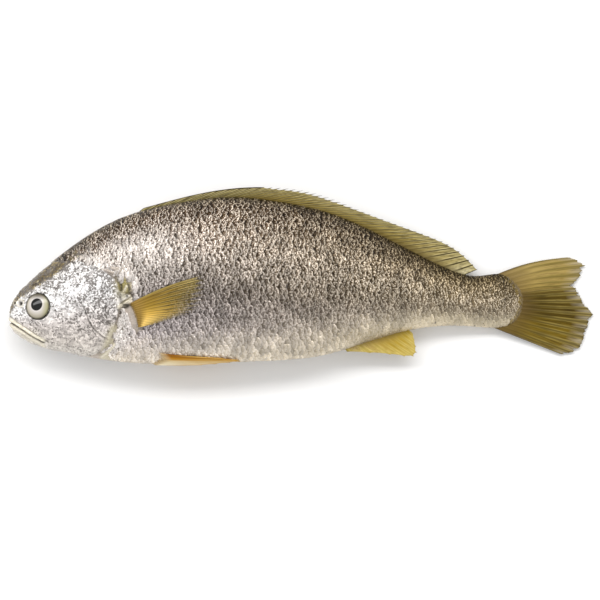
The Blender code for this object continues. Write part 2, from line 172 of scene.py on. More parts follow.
# Rows of the skin's grid, and the gill slit's edge as (level, x)
SKIN_TURNS = 380
HEAD_ROWS, CHEEK_ROWS, TRUNK_ROWS = 96, 88, 62
CHEEK_X, SHOULDER_X = -125, -86
GILL_EDGE = [(-1, -107), (-0.85, -99), (-0.65, -95), (-0.4, -91.6), (-0.1, -90.5),
             (0.12, -92.5), (0.32, -99), (1, -104)]
GILL_ROW_X = -92.0
GILL_ROW_CLEARANCE = 0.4
GILL_REACH = 30.0
GILL_STEP, GILL_STEP_REACH = 1.3, 6
GILL_SWELL, GILL_SWELL_REACH = 0.35, 7
GILL_LIP = 0.3
NAPE_LEVEL = 0.32
FLAP_LEVEL, FLAP_HEIGHT, FLAP_LENGTH = -0.13, 0.05, 5.5

EYE_AT = (-131.8, -15.2)
EYE_AXIS = (-0.42, 0.10, 0.90)
EYE_RADIUS = 6.3
EYE_PROUD = 1.6

# Creases and ridges of the head, as places on the flank
MOUTH_GAP = [(-148, -22), (-145.5, -23.6), (-140.3, -26.8), (-135.1, -30.3), (-129, -33.6)]
LIP_GROOVE = [(-148, -18.6), (-146.2, -20.2), (-142.4, -23.4), (-136.9, -26.8), (-132.3, -29.9),
              (-126.5, -33.5)]
CHIN_GROOVE = [(-139, -29.6), (-135, -32.1), (-131, -34)]
CHEEK_BONE = [(-110.5, -12.1), (-107.5, -19.1), (-104.4, -25.8), (-99.2, -30.4), (-96.9, -32)]
COVER_RIDGE = [(-97.3, -14.2), (-97.9, -18.3), (-95.6, -24.5)]
COVER_RIM = [(-93.2, -26.5), (-95.6, -32.5), (-98.5, -41)]
NAPE_CREASE = [(-101, 6.5), (-98.5, 5), (-97, 3.9), (-94, 2.5)]
FLAP_RIDGE = [(-90.9, -15.6), (-87.6, -13), (-84.7, -10.9)]
FLAP_FOLD = [(-89.8, -15.4), (-87, -14.5), (-84.9, -13.4)]
TENDON = [(-87.4, -5.2), (-88.4, -7.2), (-89.1, -9.1)]
HOLLOW_SLITS = [[(-90.6, -3), (-90, -6.5), (-90.4, -10.5), (-89.8, -13.4)],
                [(-86.6, -4.4), (-86, -7.4), (-87, -9.6)],
                [(-87.2, -9.4), (-86.4, -10.8), (-85.2, -11.7)]]
FLAP_SLITS = [[(-88.8, -14.6), (-86.2, -14.4), (-83.6, -15)],
              [(-89.2, -16), (-87.8, -15.8), (-86.4, -15.2)],
              [(-83.9, -10.6), (-83.2, -11.6), (-83.4, -12.6)]]
FIN_ROOT = [(-86, -14.5), (-84.2, -19.5), (-82, -25.5)]
THROAT_FOLD = [(-93.2, -34.5), (-95.7, -37.4), (-100, -40.5)]
CHEEK_SWELL = [(bone_x - 0.7, bone_y) for bone_x, bone_y in CHEEK_BONE]
LINE_POINTS = 48

# Heights and widths of those lines, in mm: a height below 0 is sunk
MOUTH_DEPTH, MOUTH_WIDTH = 1.3, 0.38
GROOVE_DEPTH, GROOVE_WIDTH = 0.5, 0.42
LIP_HEIGHT, LIP_WIDTH, LIP_OFFSETS = 0.45, 0.85, (1.3, -1.2)
SKIN_LINES = [(CHIN_GROOVE, -0.3, 0.5), (NAPE_CREASE, -0.5, 0.6), (FLAP_RIDGE, 0.7, 0.55),
              (FLAP_FOLD, 0.35, 0.4), (TENDON, 0.8, 0.5), (THROAT_FOLD, 0.4, 0.7)]
HEAD_LINES = [(CHEEK_SWELL, 0.4, 1.2), (CHEEK_BONE, -1.1, 0.45), (COVER_RIDGE, -0.35, 0.5)]
FIN_PAD_HEIGHT, FIN_PAD_WIDTH = 0.8, 1.6
HOLLOW_DEPTH = 0.9
LID_HEIGHT, LID_GAP, LID_WIDTH = 0.5, 0.9, 0.6
SOCKET_DEPTH, SOCKET_GAP, SOCKET_WALL, SOCKET_RANGE = 2.4, 0.35, 0.6, 8
NOSTRIL_RIM, NOSTRIL_DEPTH = 0.35, 1.1
NOSTRILS = [(-140.6, -13.7, 1.1), (-143.4, -13.6, 0.55)]
# Wavelength and height in mm, and the random draw's seed
WRINKLES = [(3.4, 0.13, 1), (1.9, 0.08, 2)]
SWELLING = (9, 0.12, 3)

# How dark the painted shade in each crease is, and how wide in mm
SHADED_CREASES = [(CHIN_GROOVE, 0.6, 0.4), (CHEEK_BONE, 0.9, 0.35), (COVER_RIDGE, 0.5, 0.4),
           (NAPE_CREASE, 0.8, 0.45), *[(slit, 1, 0.65) for slit in HOLLOW_SLITS]]
BROW_DEPTH = [(-150, 3), (-140, 3.8), (-131, 6.2), (-120, 7.5), (-105, 7), (-80, 5)]

# Patches of the flank: the centre, then the reach along and up
HOLLOW = ((-88.3, -6.3), (3.4, 6.0))
HOLLOW_STAIN = ((-88.9, -6.2), (3.4, 5.8))
HOLLOW_CLEAN = ((-88, -11), (4, 6))
SNOUT_TIP = ((-146, -20), (3, 5))
CHIN_PATCH = ((-138, -30.5), (6, 3.5))
NOSTRIL_CLEAN = (NOSTRILS[0][:2], (3, 3))
VENT_STAIN = ((40, -31), (20, 5))

# Where the scales start behind the head, and end in a parabola at the tail
GILL_MARGIN = 2.2
NAPE_SCALES_X, NAPE_SCALES_SLOPE = -100, 34
STEM_X, STEM_FADE = 88, 6
SCALES_END, SCALES_END_CURVE, SCALES_END_FADE = (108.3, -13), 0.045, 3.4


def quads(index):
    """Four-sided faces between the neighbours of a grid of point numbers."""
    corners = [index[:-1, :-1], index[:-1, 1:], index[1:, 1:], index[1:, :-1]]
    return np.stack(corners, axis=-1).reshape(-1, 4)


def bell(t):
    """e to the minus t squared: 1 at 0, and next to nothing from 2 on."""
    return np.exp(-t ** 2)


def near(x, y, line, width):
    """1 on a curve through the line's points, falling off as a bell of that width."""
    points = np.array(line, float)
    run = np.concatenate([[0], np.cumsum(np.hypot(*np.diff(points, axis=0).T))])
    at = np.linspace(0, run[-1], LINE_POINTS)
    path = [smooth_curve(list(zip(run, points[:, k])))(at) for k in (0, 1)]
    gap = np.full(x.shape, 1e9)
    for px, py in zip(*path):
        gap = np.minimum(gap, (x - px) ** 2 + (y - py) ** 2)
    return bell(np.sqrt(gap) / width)


def spot(x, y, centre, reach):
    """1 at a point of the flank, falling off as a bell with its own reach along and up."""
    return bell((x - centre[0]) / reach[0]) * bell((y - centre[1]) / reach[1])


def wrinkles(x, y, length, seed):
    """Sum of forty sine waves of about one length in random directions, of height about 1."""
    waves = 40
    rng = np.random.default_rng(seed)
    total = np.zeros(x.shape)
    for way, phase, stretch in zip(rng.uniform(0, math.pi, waves), rng.uniform(0, 6.3, waves),
                                   rng.uniform(0.7, 1.4, waves)):
        wave = 2 * math.pi / (length * stretch)
        total += np.sin(wave * (x * math.cos(way) + y * math.sin(way)) + phase)
    return total / math.sqrt(waves / 2)


def eye_place(side):
    """Centre of an eye on its cheek, and the unit direction it looks in."""
    x, y = EYE_AT
    axis = np.array([EYE_AXIS[0], EYE_AXIS[1], EYE_AXIS[2] * side])
    return np.array([x, y, float(flank_height(x, y, side))]), axis / np.linalg.norm(axis)


def eye_distance(points):
    """Distance from an eye's axis, for points within the socket's range of its centre along it."""
    best = np.full(points.shape[:-1], 1e9)
    for side in (1, -1):
        centre, axis = eye_place(side)
        offset = points - centre
        along = offset @ axis
        away = np.linalg.norm(offset - along[..., None] * axis, axis=-1)
        best = np.where(np.abs(along) < SOCKET_RANGE, np.minimum(best, away), best)
    return best


def skin_rows():
    """Ring places: closest at the lips, one on the gill edge and one just behind it."""
    ends = [0, float(turn_along(CHEEK_X)), float(turn_along(SHOULDER_X)), math.pi]
    parts = [np.linspace(a, b, n, endpoint=False)
             for a, b, n in zip(ends, ends[1:], (HEAD_ROWS, CHEEK_ROWS, TRUNK_ROWS))]
    rows = (FLESH_MIDDLE - FLESH_HALF * np.cos(np.concatenate(parts)))[1:]
    rows = rows[np.abs(rows - GILL_ROW_X) > GILL_ROW_CLEARANCE]
    return np.sort(np.append(rows, [GILL_ROW_X, GILL_ROW_X + GILL_LIP]))


gill_edge = smooth_curve(GILL_EDGE)


def scale_front(level):
    """How far forward the scales reach: to the gill slit, and over the nape above it."""
    nape_front = NAPE_SCALES_X - (level - NAPE_LEVEL) * NAPE_SCALES_SLOPE
    return np.where(level > NAPE_LEVEL, nape_front, gill_edge(level) + GILL_MARGIN)


def tail_root(x, y):
    """1 where the tail fin's own flesh takes over from the scales, behind a parabola."""
    past = x - SCALES_END[0] + SCALES_END_CURVE * (y - SCALES_END[1]) ** 2
    return ease((x - STEM_X) / STEM_FADE) * ease(past / SCALES_END_FADE)


def fin_stain(x, y):
    """How much fin colour stains the scales: all of it at the tail, a little at the vent fin."""
    return np.maximum(tail_root(x, y), 0.3 * spot(x, y, *VENT_STAIN))


def new_piece(name, points, faces):
    """A mesh from points in millimetres, smooth shaded, that stands in the fish's own frame."""
    mesh = bpy.data.meshes.new(name)
    mesh.from_pydata((np.reshape(points, (-1, 3)) * MM).tolist(), [], faces)
    mesh.shade_smooth()
    piece = bpy.data.objects.new(name, mesh)
    bpy.context.scene.collection.objects.link(piece)
    return piece


def store(piece, name, values):
    """Keep one number for each point of the mesh, for its material to read."""
    attribute = piece.data.attributes.new(name, "FLOAT", "POINT")
    attribute.data.foreach_set("value", np.ravel(values).astype(np.float32))


def round_piece(name, points, poles, turned=1):
    """A grid closed round its columns, with a fan of triangles from each end ring to its pole."""
    index = np.arange(points[..., 0].size).reshape(points.shape[:2])
    ring = np.hstack([index, index[:, :1]])
    faces = quads(ring)[:, ::turned].tolist()
    for pole, first, second in ((0, ring[0, 1:], ring[0, :-1]), (1, ring[-1, :-1], ring[-1, 1:])):
        fan = np.stack([np.full(len(first), index.size + pole), first, second], axis=1)
        faces += fan[:, ::turned].tolist()
    return new_piece(name, np.vstack([points.reshape(-1, 3), poles]), faces)


rows = skin_rows()
turns = np.arange(SKIN_TURNS) * 2 * math.pi / SKIN_TURNS
x, turn = np.meshgrid(rows, turns, indexing="ij")
level = np.cos(turn)
behind = x - GILL_ROW_X
flap = FLAP_LENGTH * bell((level - FLAP_LEVEL) / FLAP_HEIGHT)
x = x + ease(1 - np.abs(behind) / GILL_REACH) * (gill_edge(level) + flap - GILL_ROW_X)
base = skin_point(x, turn)
normal = skin_normal(x, turn)
y = base[..., 1]
on_head = 1 - ease(behind / GILL_LIP + 1)
past_eye = eye_distance(base) - EYE_RADIUS
nostrils = [np.hypot(x - hole_x, y - hole_y) / radius for hole_x, hole_y, radius in NOSTRILS]

# The cover lifts towards its edge, and the body behind the slit lies deeper
cover = ease((NAPE_LEVEL - level) / 0.15) * ease((level + 1) / 0.1)
relief = cover * np.where(behind < GILL_LIP / 2, GILL_SWELL * bell(behind / GILL_SWELL_REACH),
                          -GILL_STEP * np.exp(-np.maximum(behind, 0) / GILL_STEP_REACH))
mouth = near(x, y, MOUTH_GAP, MOUTH_WIDTH)
groove = near(x, y, LIP_GROOVE, GROOVE_WIDTH)
lips = sum(near(x, y - offset, MOUTH_GAP, LIP_WIDTH) for offset in LIP_OFFSETS)
relief += LIP_HEIGHT * np.minimum(lips, 1) - MOUTH_DEPTH * mouth - GROOVE_DEPTH * groove
for line, rise, width in SKIN_LINES:
    relief += rise * near(x, y, line, width)
for line, rise, width in HEAD_LINES:
    relief += on_head * rise * near(x, y, line, width)
relief += (1 - on_head) * FIN_PAD_HEIGHT * near(x, y, FIN_ROOT, FIN_PAD_WIDTH)
relief -= (1 - on_head) * HOLLOW_DEPTH * spot(x, y, *HOLLOW)
for ring in nostrils:
    relief += NOSTRIL_RIM * bell((ring - 1.5) / 0.45) - NOSTRIL_DEPTH * bell(ring)
relief += LID_HEIGHT * bell((past_eye - LID_GAP) / LID_WIDTH)
relief -= SOCKET_DEPTH * ease((SOCKET_GAP - past_eye) / SOCKET_WALL)

# Fine wrinkles all over the head, but not by the eye or on the lips, over a broader swelling
rough = on_head * ease((past_eye - 0.8) / 1.5) * ease(3 - 3 * np.minimum(lips + mouth, 1))
for length, depth, seed in WRINKLES:
    relief -= rough * depth * np.abs(wrinkles(x, y, length, seed))
relief += rough * SWELLING[1] * (wrinkles(x, y, SWELLING[0], SWELLING[2]) + 1)
points = base + relief[..., None] * normal
points[..., 2] = np.maximum(points[..., 2], 0)
ends = [[end_x, back(end_x), middle_plane(end_x)] for end_x in (SNOUT_X, FLESH_END_X)]
skin = round_piece("skin", points, ends)

# Brow and flecks: brown down to the brow's depth, grey flecks thickest under it and on the cover
down = back(x) - y
brow_depth = smooth_curve(BROW_DEPTH)(x)
brow = ease((brow_depth - down) / 8 + 0.5)
fleck = 0.35 + 0.25 * ease((y + 34) / 9) + 0.42 * ease((x + 116) / 16) * ease((y + 32) / 12)
fleck += 0.9 * ease(1 - (down - brow_depth) / 13)
fleck *= 1 - np.clip(lips + 0.8 * spot(x, y, *SNOUT_TIP), 0, 1)
fleck *= (1 - spot(x, y, *HOLLOW_CLEAN)) * (1 - spot(x, y, *NOSTRIL_CLEAN))

# Painted shade in creases, slits, the mouth gap, nostrils, the socket's edge and behind the gill
# cover, save where a ridge crosses it. Ridges, lips and rims are pale
ridges = near(x, y, TENDON, 0.5) + near(x, y, FLAP_RIDGE, 0.55)
crease_shade = np.maximum.reduce([
    1.3 * mouth, 0.7 * groove, *[dark * near(x, y, line, width) for line, dark, width in SHADED_CREASES],
    0.7 * cover * ease((behind + 0.1) / 0.3) * np.exp(-np.maximum(behind, 0) / 0.8),
    0.5 * bell((past_eye - 0.1) / 0.3), *[np.exp(-ring ** 4) for ring in nostrils]])
crease_shade *= (1 - np.clip(ridges, 0, 1)) * (1 - 0.6 * near(x, y, COVER_RIM, 2))
slit_shade = 1.1 * np.maximum.reduce([near(x, y, slit, 0.7) for slit in FLAP_SLITS])
pale = np.minimum(lips, 1) + near(x, y, FLAP_RIDGE, 0.9) + near(x, y, TENDON, 0.55)
pale = np.clip(pale + near(x, y, THROAT_FOLD, 0.6), 0, 1) * np.clip(1 - slit_shade - 0.9 * mouth, 0, 1)
pale = np.maximum.reduce([pale, 0.62 * near(x, y, COVER_RIM, 1.8), 0.5 * spot(x, y, *CHIN_PATCH),
                          *[0.6 * bell((ring - 1.6) / 0.4) for ring in nostrils]])
olive = np.maximum((1.5 - 0.6 * on_head) * spot(x, y, *HOLLOW_STAIN),
                   0.75 * near(x, y, COVER_RIM, 2.2))

# Bare flesh shows in a band before the first scales, and on the breast fin's pad
under_scales = x - scale_front(level)
flesh = ease(under_scales / 4 + 1) * (1 - ease((under_scales - 5) / 9))
flesh = (1 - on_head) * np.maximum(0.9 * flesh * ease((down - 2) / 6),
                                   0.8 * near(x, y, FIN_ROOT, 2.2))
masks = {"brow": brow, "fleck": fleck, "rooted": fin_stain(x, y), "flesh": flesh, "olive": olive,
         "crease_shade": np.maximum(crease_shade, slit_shade), "pale": pale, "on_head": on_head}
store(skin, "height", np.append(level / 2 + 0.5, [0.5, 0.5]))
for name, mask in masks.items():
    store(skin, name, np.append(np.clip(mask, 0, 1), [0, 0]))


def linear(code):
    """Turn an sRGB hex colour into the linear one that a shader takes."""
    channels = np.array([int(code[i:i + 2], 16) for i in (0, 2, 4)]) / 255
    low, high = channels / 12.92, ((channels + 0.055) / 1.055) ** 2.4
    return (*np.where(channels < 0.04045, low, high).tolist(), 1)


def feed(mat, target, inputs):
    """Set a node's inputs by name or number: a value, or a link from a socket or from a node."""
    for key, value in inputs.items():
        if isinstance(value, bpy.types.Node):
            value = next(socket for socket in value.outputs if socket.enabled)
        if isinstance(value, bpy.types.NodeSocket):
            mat.node_tree.links.new(value, target.inputs[key])
        else:
            target.inputs[key].default_value = value


def node(mat, kind, inputs=None, stops=None, **settings):
    """Add a shader node with its settings, its ramp's (place, colour) stops, and its inputs."""
    new = mat.node_tree.nodes.new("ShaderNode" + kind)
    for key, value in settings.items():
        setattr(new, key, value)
    if stops:
        ramp = new.color_ramp.elements
        ramp.remove(ramp[1])
        ramp[0].position, ramp[0].color = stops[0][0], linear(stops[0][1])
        for place, code in stops[1:]:
            ramp.new(place).color = linear(code)
    feed(mat, new, inputs or {})
    return new


# Fresh fish skin, wet: silver guanine under a clear slime. To the eye it is pearl white, broken
# by fine grey pigment specks and short crinkles, glossy where it faces the lamp. The sizes of its
# crystal facets, their ragged edges, its grain and its clouds are in mm
FACET_SIZE, RAGGED_SIZE, GRAIN_SIZE, CLOUD_SIZE = 1.25, 1.6, 1.0, 5
hide = bpy.data.materials.new("wet_silver_hide")
hide.use_nodes = True
place = node(hide, "TexCoord").outputs["Object"]
on_skin = {name: node(hide, "Attribute", attribute_name=name).outputs["Fac"]
           for name in ("height", *masks)}
silver = node(hide, "ValToRGB", {"Fac": on_skin["height"]}, stops=[
    (0, "d1cac0"), (0.12, "d1c8bf"), (0.28, "d8cfc9"), (0.5, "efecea"), (0.8, "e4e0dc"),
    (1, "a89f8c")])
bare = node(hide, "ValToRGB", {"Fac": on_skin["height"]}, stops=[
    (0, "c4b8a4"), (0.15, "a89b88"), (0.5, "5f5346"), (1, "33281a")])
side_tone = node(hide, "Mix", {"Factor": on_skin["on_head"], "A": bare, "B": silver},
                 data_type="RGBA")
warp = node(hide, "TexNoise", {"Vector": place, "Scale": 1000 / RAGGED_SIZE, "Detail": 1})
warped = node(hide, "VectorMath", {0: warp.outputs["Color"], 1: (0.0015,) * 3, 2: place},
              operation="MULTIPLY_ADD")
facet = node(hide, "TexVoronoi", {"Vector": warped, "Scale": 1000 / FACET_SIZE})
facets = node(hide, "SeparateColor", {"Color": facet.outputs["Color"]}).outputs
# Painted glints and shade: each crystal facet is painted lighter or darker, as crinkled foil
# catching the lamp
facet_glint_gain = node(hide, "MapRange", {"Value": facets["Red"], "To Min": 0.7, "To Max": 1.44})
glinted_foil = node(hide, "VectorMath", {0: side_tone, "Scale": facet_glint_gain}, operation="SCALE")
grain = node(hide, "TexNoise", {"Vector": place, "Scale": 1000 / GRAIN_SIZE, "Detail": 3,
                                "Roughness": 0.6, "Distortion": 0.8})
grains = node(hide, "SeparateColor", {"Color": grain.outputs["Color"]}).outputs
brow_place = node(hide, "Math", {0: on_skin["brow"], 1: grains["Green"]}, operation="ADD")
brow_edge = node(hide, "MapRange", {"Value": brow_place, "From Min": 0.78, "From Max": 1.05})
# The brow's brown, with painted golden glints on its brightest facets
brow_and_glint_tone = node(hide, "ValToRGB", {"Fac": facets["Green"]}, stops=[
    (0, "3f331d"), (0.5, "645430"), (0.8, "867343"), (0.95, "a8966a"), (1, "c9bd98")])
tone = node(hide, "Mix", {"Factor": brow_edge, "A": glinted_foil, "B": brow_and_glint_tone}, data_type="RGBA")
cloud = node(hide, "TexNoise", {"Vector": place, "Scale": 1000 / CLOUD_SIZE, "Detail": 2})
flecks = node(hide, "Math", {0: cloud, 1: 0.35, 2: grain}, operation="MULTIPLY_ADD")
fleck_place = node(hide, "Math", {0: on_skin["fleck"], 1: 0.18, 2: flecks},
                   operation="MULTIPLY_ADD")
fleck_edge = node(hide, "MapRange", {"Value": fleck_place, "From Min": 0.805, "From Max": 0.89,
                                     "To Max": 0.9})
clouded = node(hide, "MapRange", {"Value": cloud, "From Min": 0.45, "From Max": 0.75,
                                  "To Max": 0.3})
# Flecks and clouds are pigment; the crease mask is painted shade in creases, slits and recesses
for share, code in ((fleck_edge, "4d4640"), (clouded, "a39b95"), (on_skin["rooted"], "766134"),
                    (on_skin["flesh"], "c3b6aa"), (on_skin["olive"], "a0945e"),
                    (on_skin["crease_shade"], "2f281c"), (on_skin["pale"], "ece3cd")):
    tone = node(hide, "Mix", {"Factor": share, "A": tone, "B": linear(code)}, data_type="RGBA")
crinkled = node(hide, "Bump", {"Height": grains["Blue"], "Strength": 1.0, "Distance": 0.0006})
metal = node(hide, "Math", {0: on_skin["rooted"], 1: -0.4, 2: 0.45}, operation="MULTIPLY_ADD")
feed(hide, hide.node_tree.nodes["Principled BSDF"], {
    "Base Color": tone, "Normal": crinkled, "Metallic": metal, "Roughness": 0.27,
    "Coat Weight": 0.2, "Coat Roughness": 0.12})
skin.data.materials.append(hide)
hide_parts("fish")
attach(skin, "root")


# Scales. Some 3100 thin horny plates on each flank, set in the skin like roof tiles: the front
# half of each is hidden, and its round rear rim stands free. They are about 2.4 mm apart along
# the fish, in rows 2.2 mm apart, and smaller towards the nape and the tail.

SCALE_STEP = 2.4
SCALE_ROW = 2.2
SCALE_LENGTH = 4.3
SCALE_ROUND = 1.35
SCALE_OVERLAP = 1.03
SCALE_THICKNESS = 0.16
SCALE_CURL = 0.12
# How far random draws move, resize and tilt a scale
SCALE_PLAY = (0.32, 0.28)
SCALE_SPREAD = 0.12
SCALE_TILT = 0.10
# Least height over the table of a scale's outer and inner face
SCALE_PRESSED = (0.02, 0.08)
SCALE_ROWS = 22
SCALES_FROM, SCALES_TO = -123, 111.3
SCALE_SIZE = [(-125, 0.5), (-105, 0.7), (-80, 0.95), (10, 1.0), (60, 0.88), (92, 0.72),
              (102, 0.58), (112, 0.42)]
SCALE_ALONG = np.array([0.0, 0.6, 0.9, 1.0])
SCALE_LIFT = np.array([-0.25, 0.20, 0.44, 0.34])
SCALE_ACROSS = np.sin(np.linspace(-0.5, 0.5, 5) * math.pi)
# The girth's table runs a little past the back and the belly, in turns and in millimetres
TURN_TABLE = np.linspace(-0.35, math.pi + 0.35, 361)
ARC_TABLE = np.arange(-75, 75.1, 0.5)
HOLLOW_BARE = ((-85.9, -6.3), (3.8, 6))
SHOULDER_HIGHLIGHT = ((-84, 14), (24, 14))
BELLY_FRONT_PAINTED_LIGHT = ((-84, -34), (24, 9))
STEM_END = ((101, -9), (9, 12))


def arc_table(stations):
    """For stations along the fish, the turn at each girth distance from the flank's middle."""
    y, height = section(*np.meshgrid(stations, TURN_TABLE, indexing="ij"))
    step = np.hypot(np.diff(y, axis=1), np.diff(height, axis=1))
    arc = np.concatenate([np.zeros((len(stations), 1)), np.cumsum(step, axis=1)], axis=1)
    middle = np.array([np.interp(math.pi / 2, TURN_TABLE, row) for row in arc])
    arc -= middle[:, None]
    return np.array([np.interp(ARC_TABLE, row, TURN_TABLE) for row in arc])


stations = np.linspace(-126, 111.4, 476)
turn_table = arc_table(stations)


def turn_at(x, arc):
    """Read the arc table between its stations and steps."""
    row = np.clip((x - stations[0]) / (stations[1] - stations[0]), 0, len(stations) - 1.001)
    column = np.clip((arc - ARC_TABLE[0]) / (ARC_TABLE[1] - ARC_TABLE[0]), 0,
                     len(ARC_TABLE) - 1.001)
    i, j = row.astype(int), column.astype(int)
    a, b = row - i, column - j
    low = turn_table[i, j] * (1 - b) + turn_table[i, j + 1] * b
    high = turn_table[i + 1, j] * (1 - b) + turn_table[i + 1, j + 1] * b
    return low * (1 - a) + high * a


def scale_places(rng):
    """Rim of each scale, as x and girth distance: rows whose spacing shrinks with the scales."""
    size = smooth_curve(SCALE_SIZE)
    fine = np.linspace(SCALES_FROM, SCALES_TO, 2000)
    count = np.cumsum(np.gradient(fine) * 2 / (SCALE_STEP * size(fine)))
    column = np.arange(int(count[-1]))
    column_x = np.interp(column, count, fine)
    row = np.arange(-SCALE_ROWS, SCALE_ROWS + 1)
    i, j = np.meshgrid(column, row, indexing="ij")
    x = column_x[i]
    arc = -(2 * j + i % 2) * SCALE_ROW * size(x)
    x = x + rng.normal(0, SCALE_PLAY[0], x.shape)
    arc = arc + rng.normal(0, SCALE_PLAY[1], x.shape)
    turn = turn_at(x, arc)
    level = np.cos(turn)
    on_nape, front = level > NAPE_LEVEL, scale_front(level)
    y = section(x, turn)[0]
    bare = spot(x, y, *HOLLOW_BARE) + near(x - 1, y, FIN_ROOT, 2.6)
    on_fish = (turn > 0.03) & (turn < math.pi - 0.05) & (x > front) & (bare < 0.45)
    on_fish &= ~on_nape | (rng.uniform(0, 1, x.shape) < 0.4 + (x - front) / 6)
    on_fish &= tail_root(x, y) < rng.uniform(0.3, 0.7, x.shape)
    open_front = 1 - ease((x - front) / np.where(on_nape, 9, 3.5))
    open_front = np.maximum(open_front, ease((bare - 0.03) / 0.2))
    near_head = 1 - ease((x - front - 1) / 13)
    return [values[on_fish] for values in (x, arc, size(x), open_front, near_head)]


def scales(name, side, seed):
    """One flank's scales. Each is a grid bent to a round rim, laid on the skin and tilted up."""
    rng = np.random.default_rng(seed)
    rim_x, rim_arc, size, open_front, near_head = scale_places(rng)
    size = size * rng.uniform(1 - SCALE_SPREAD, 1 + SCALE_SPREAD, size.shape)
    shape = (len(rim_x), len(SCALE_ALONG), len(SCALE_ACROSS))
    u = np.broadcast_to(SCALE_ALONG[None, :, None], shape)
    v = np.broadcast_to(SCALE_ACROSS[None, None, :], shape)
    size = size[:, None, None]
    yaw = rng.normal(0, SCALE_TILT, shape[0])[:, None, None]
    back_off = SCALE_LENGTH * (1 - u) + SCALE_ROUND * u * (1 - np.sqrt(1 - 0.96 * v ** 2))
    across = SCALE_ROW * SCALE_OVERLAP * v * (0.9 + 0.1 * u)
    x = rim_x[:, None, None] - size * (back_off - yaw * across)
    arc = rim_arc[:, None, None] + size * (across + yaw * back_off)
    turn = turn_at(x, arc)
    turn = turn if side > 0 else 2 * math.pi - turn
    lift = np.interp(u, SCALE_ALONG, SCALE_LIFT) - SCALE_CURL * v ** 2
    pitch, roll = rng.normal(0, SCALE_TILT, (2, shape[0]))[:, :, None, None]
    lift = lift + pitch * (u - 0.4) + roll * v * u
    lift = lift * size * (0.35 + 0.65 * np.sin(np.abs(np.pi - np.abs(np.pi - turn))))
    base, out = skin_point(x, turn), skin_normal(x, turn)
    behind = x - gill_edge(np.cos(turn))
    step = GILL_STEP * np.exp(-np.maximum(behind, 0) / GILL_STEP_REACH)
    under = np.where(np.cos(turn) < NAPE_LEVEL, step, 0)
    under = under + HOLLOW_DEPTH * spot(base[..., 0], base[..., 1], *HOLLOW)
    top = base + out * (lift - under)[..., None]
    bottom = base + out * (np.minimum(lift - SCALE_THICKNESS, 0) - under)[..., None]
    top[..., 2] = np.maximum(top[..., 2], SCALE_PRESSED[0])
    bottom[..., 2] = np.maximum(bottom[..., 2], SCALE_PRESSED[1])
    count = shape[1] * shape[2]
    one = np.arange(count).reshape(shape[1:])
    rim = np.concatenate([one[0, :], one[1:, -1], one[-1, -2::-1], one[-2:0:-1, 0]])
    points = np.concatenate([top.reshape(-1, count, 3), bottom.reshape(-1, count, 3)[:, rim]],
                            axis=1)
    under_rim = count + np.arange(len(rim))
    skirt = np.stack([rim, under_rim, np.roll(under_rim, -1), np.roll(rim, -1)], axis=1)
    first = np.arange(shape[0])[:, None, None] * points.shape[1]
    flip = slice(None, None, side)
    faces = (first + np.vstack([quads(one), skirt])[:, flip]).reshape(-1, 4).tolist()
    faces += (first[:, 0] + under_rim[::-side]).tolist()
    piece = new_piece(name, points, faces)
    all_u = np.concatenate([u.reshape(-1, count), u.reshape(-1, count)[:, rim]], axis=1)
    rim_x, rim_y = top[:, -1, 2, 0], top[:, -1, 2, 1]
    below = back(rim_x) - rim_y
    store(piece, "along", all_u + 0.3 * (open_front * ease((below - 4) / 8))[:, None])
    height = np.cos(turn[:, -1, 2]) / 2 + 0.5
    # A painted highlight on the shoulder's scales, and silvering near the head
    silver_and_highlight = np.maximum(spot(rim_x, rim_y, *SHOULDER_HIGHLIGHT), 1.5 * near_head)
    silver_and_highlight *= ease((below - 5) / 11)
    nape = (1 - ease((rim_x + 108) / 34)) * (1 - ease((below - 5) / 9))
    rooted = fin_stain(rim_x, rim_y)
    even = 0.8 * ease((rim_x - 25) / 40) * (1 - ease(height / 0.25))
    tint = 0.5 + (rng.uniform(0, 1, shape[0]) - 0.5) * (1 - even)
    # The belly's front is painted lighter, as painted light where the lamp leaves it in shade; the
    # nape is darker
    tint += 0.4 * spot(rim_x, rim_y, *BELLY_FRONT_PAINTED_LIGHT) - 0.5 * nape
    tint -= 0.25 * spot(rim_x, rim_y, *STEM_END)
    for key, values in (("height", height), ("silver_and_highlight", silver_and_highlight), ("rooted", rooted), ("tint", tint)):
        store(piece, key, np.repeat(values, points.shape[1]))
    return piece


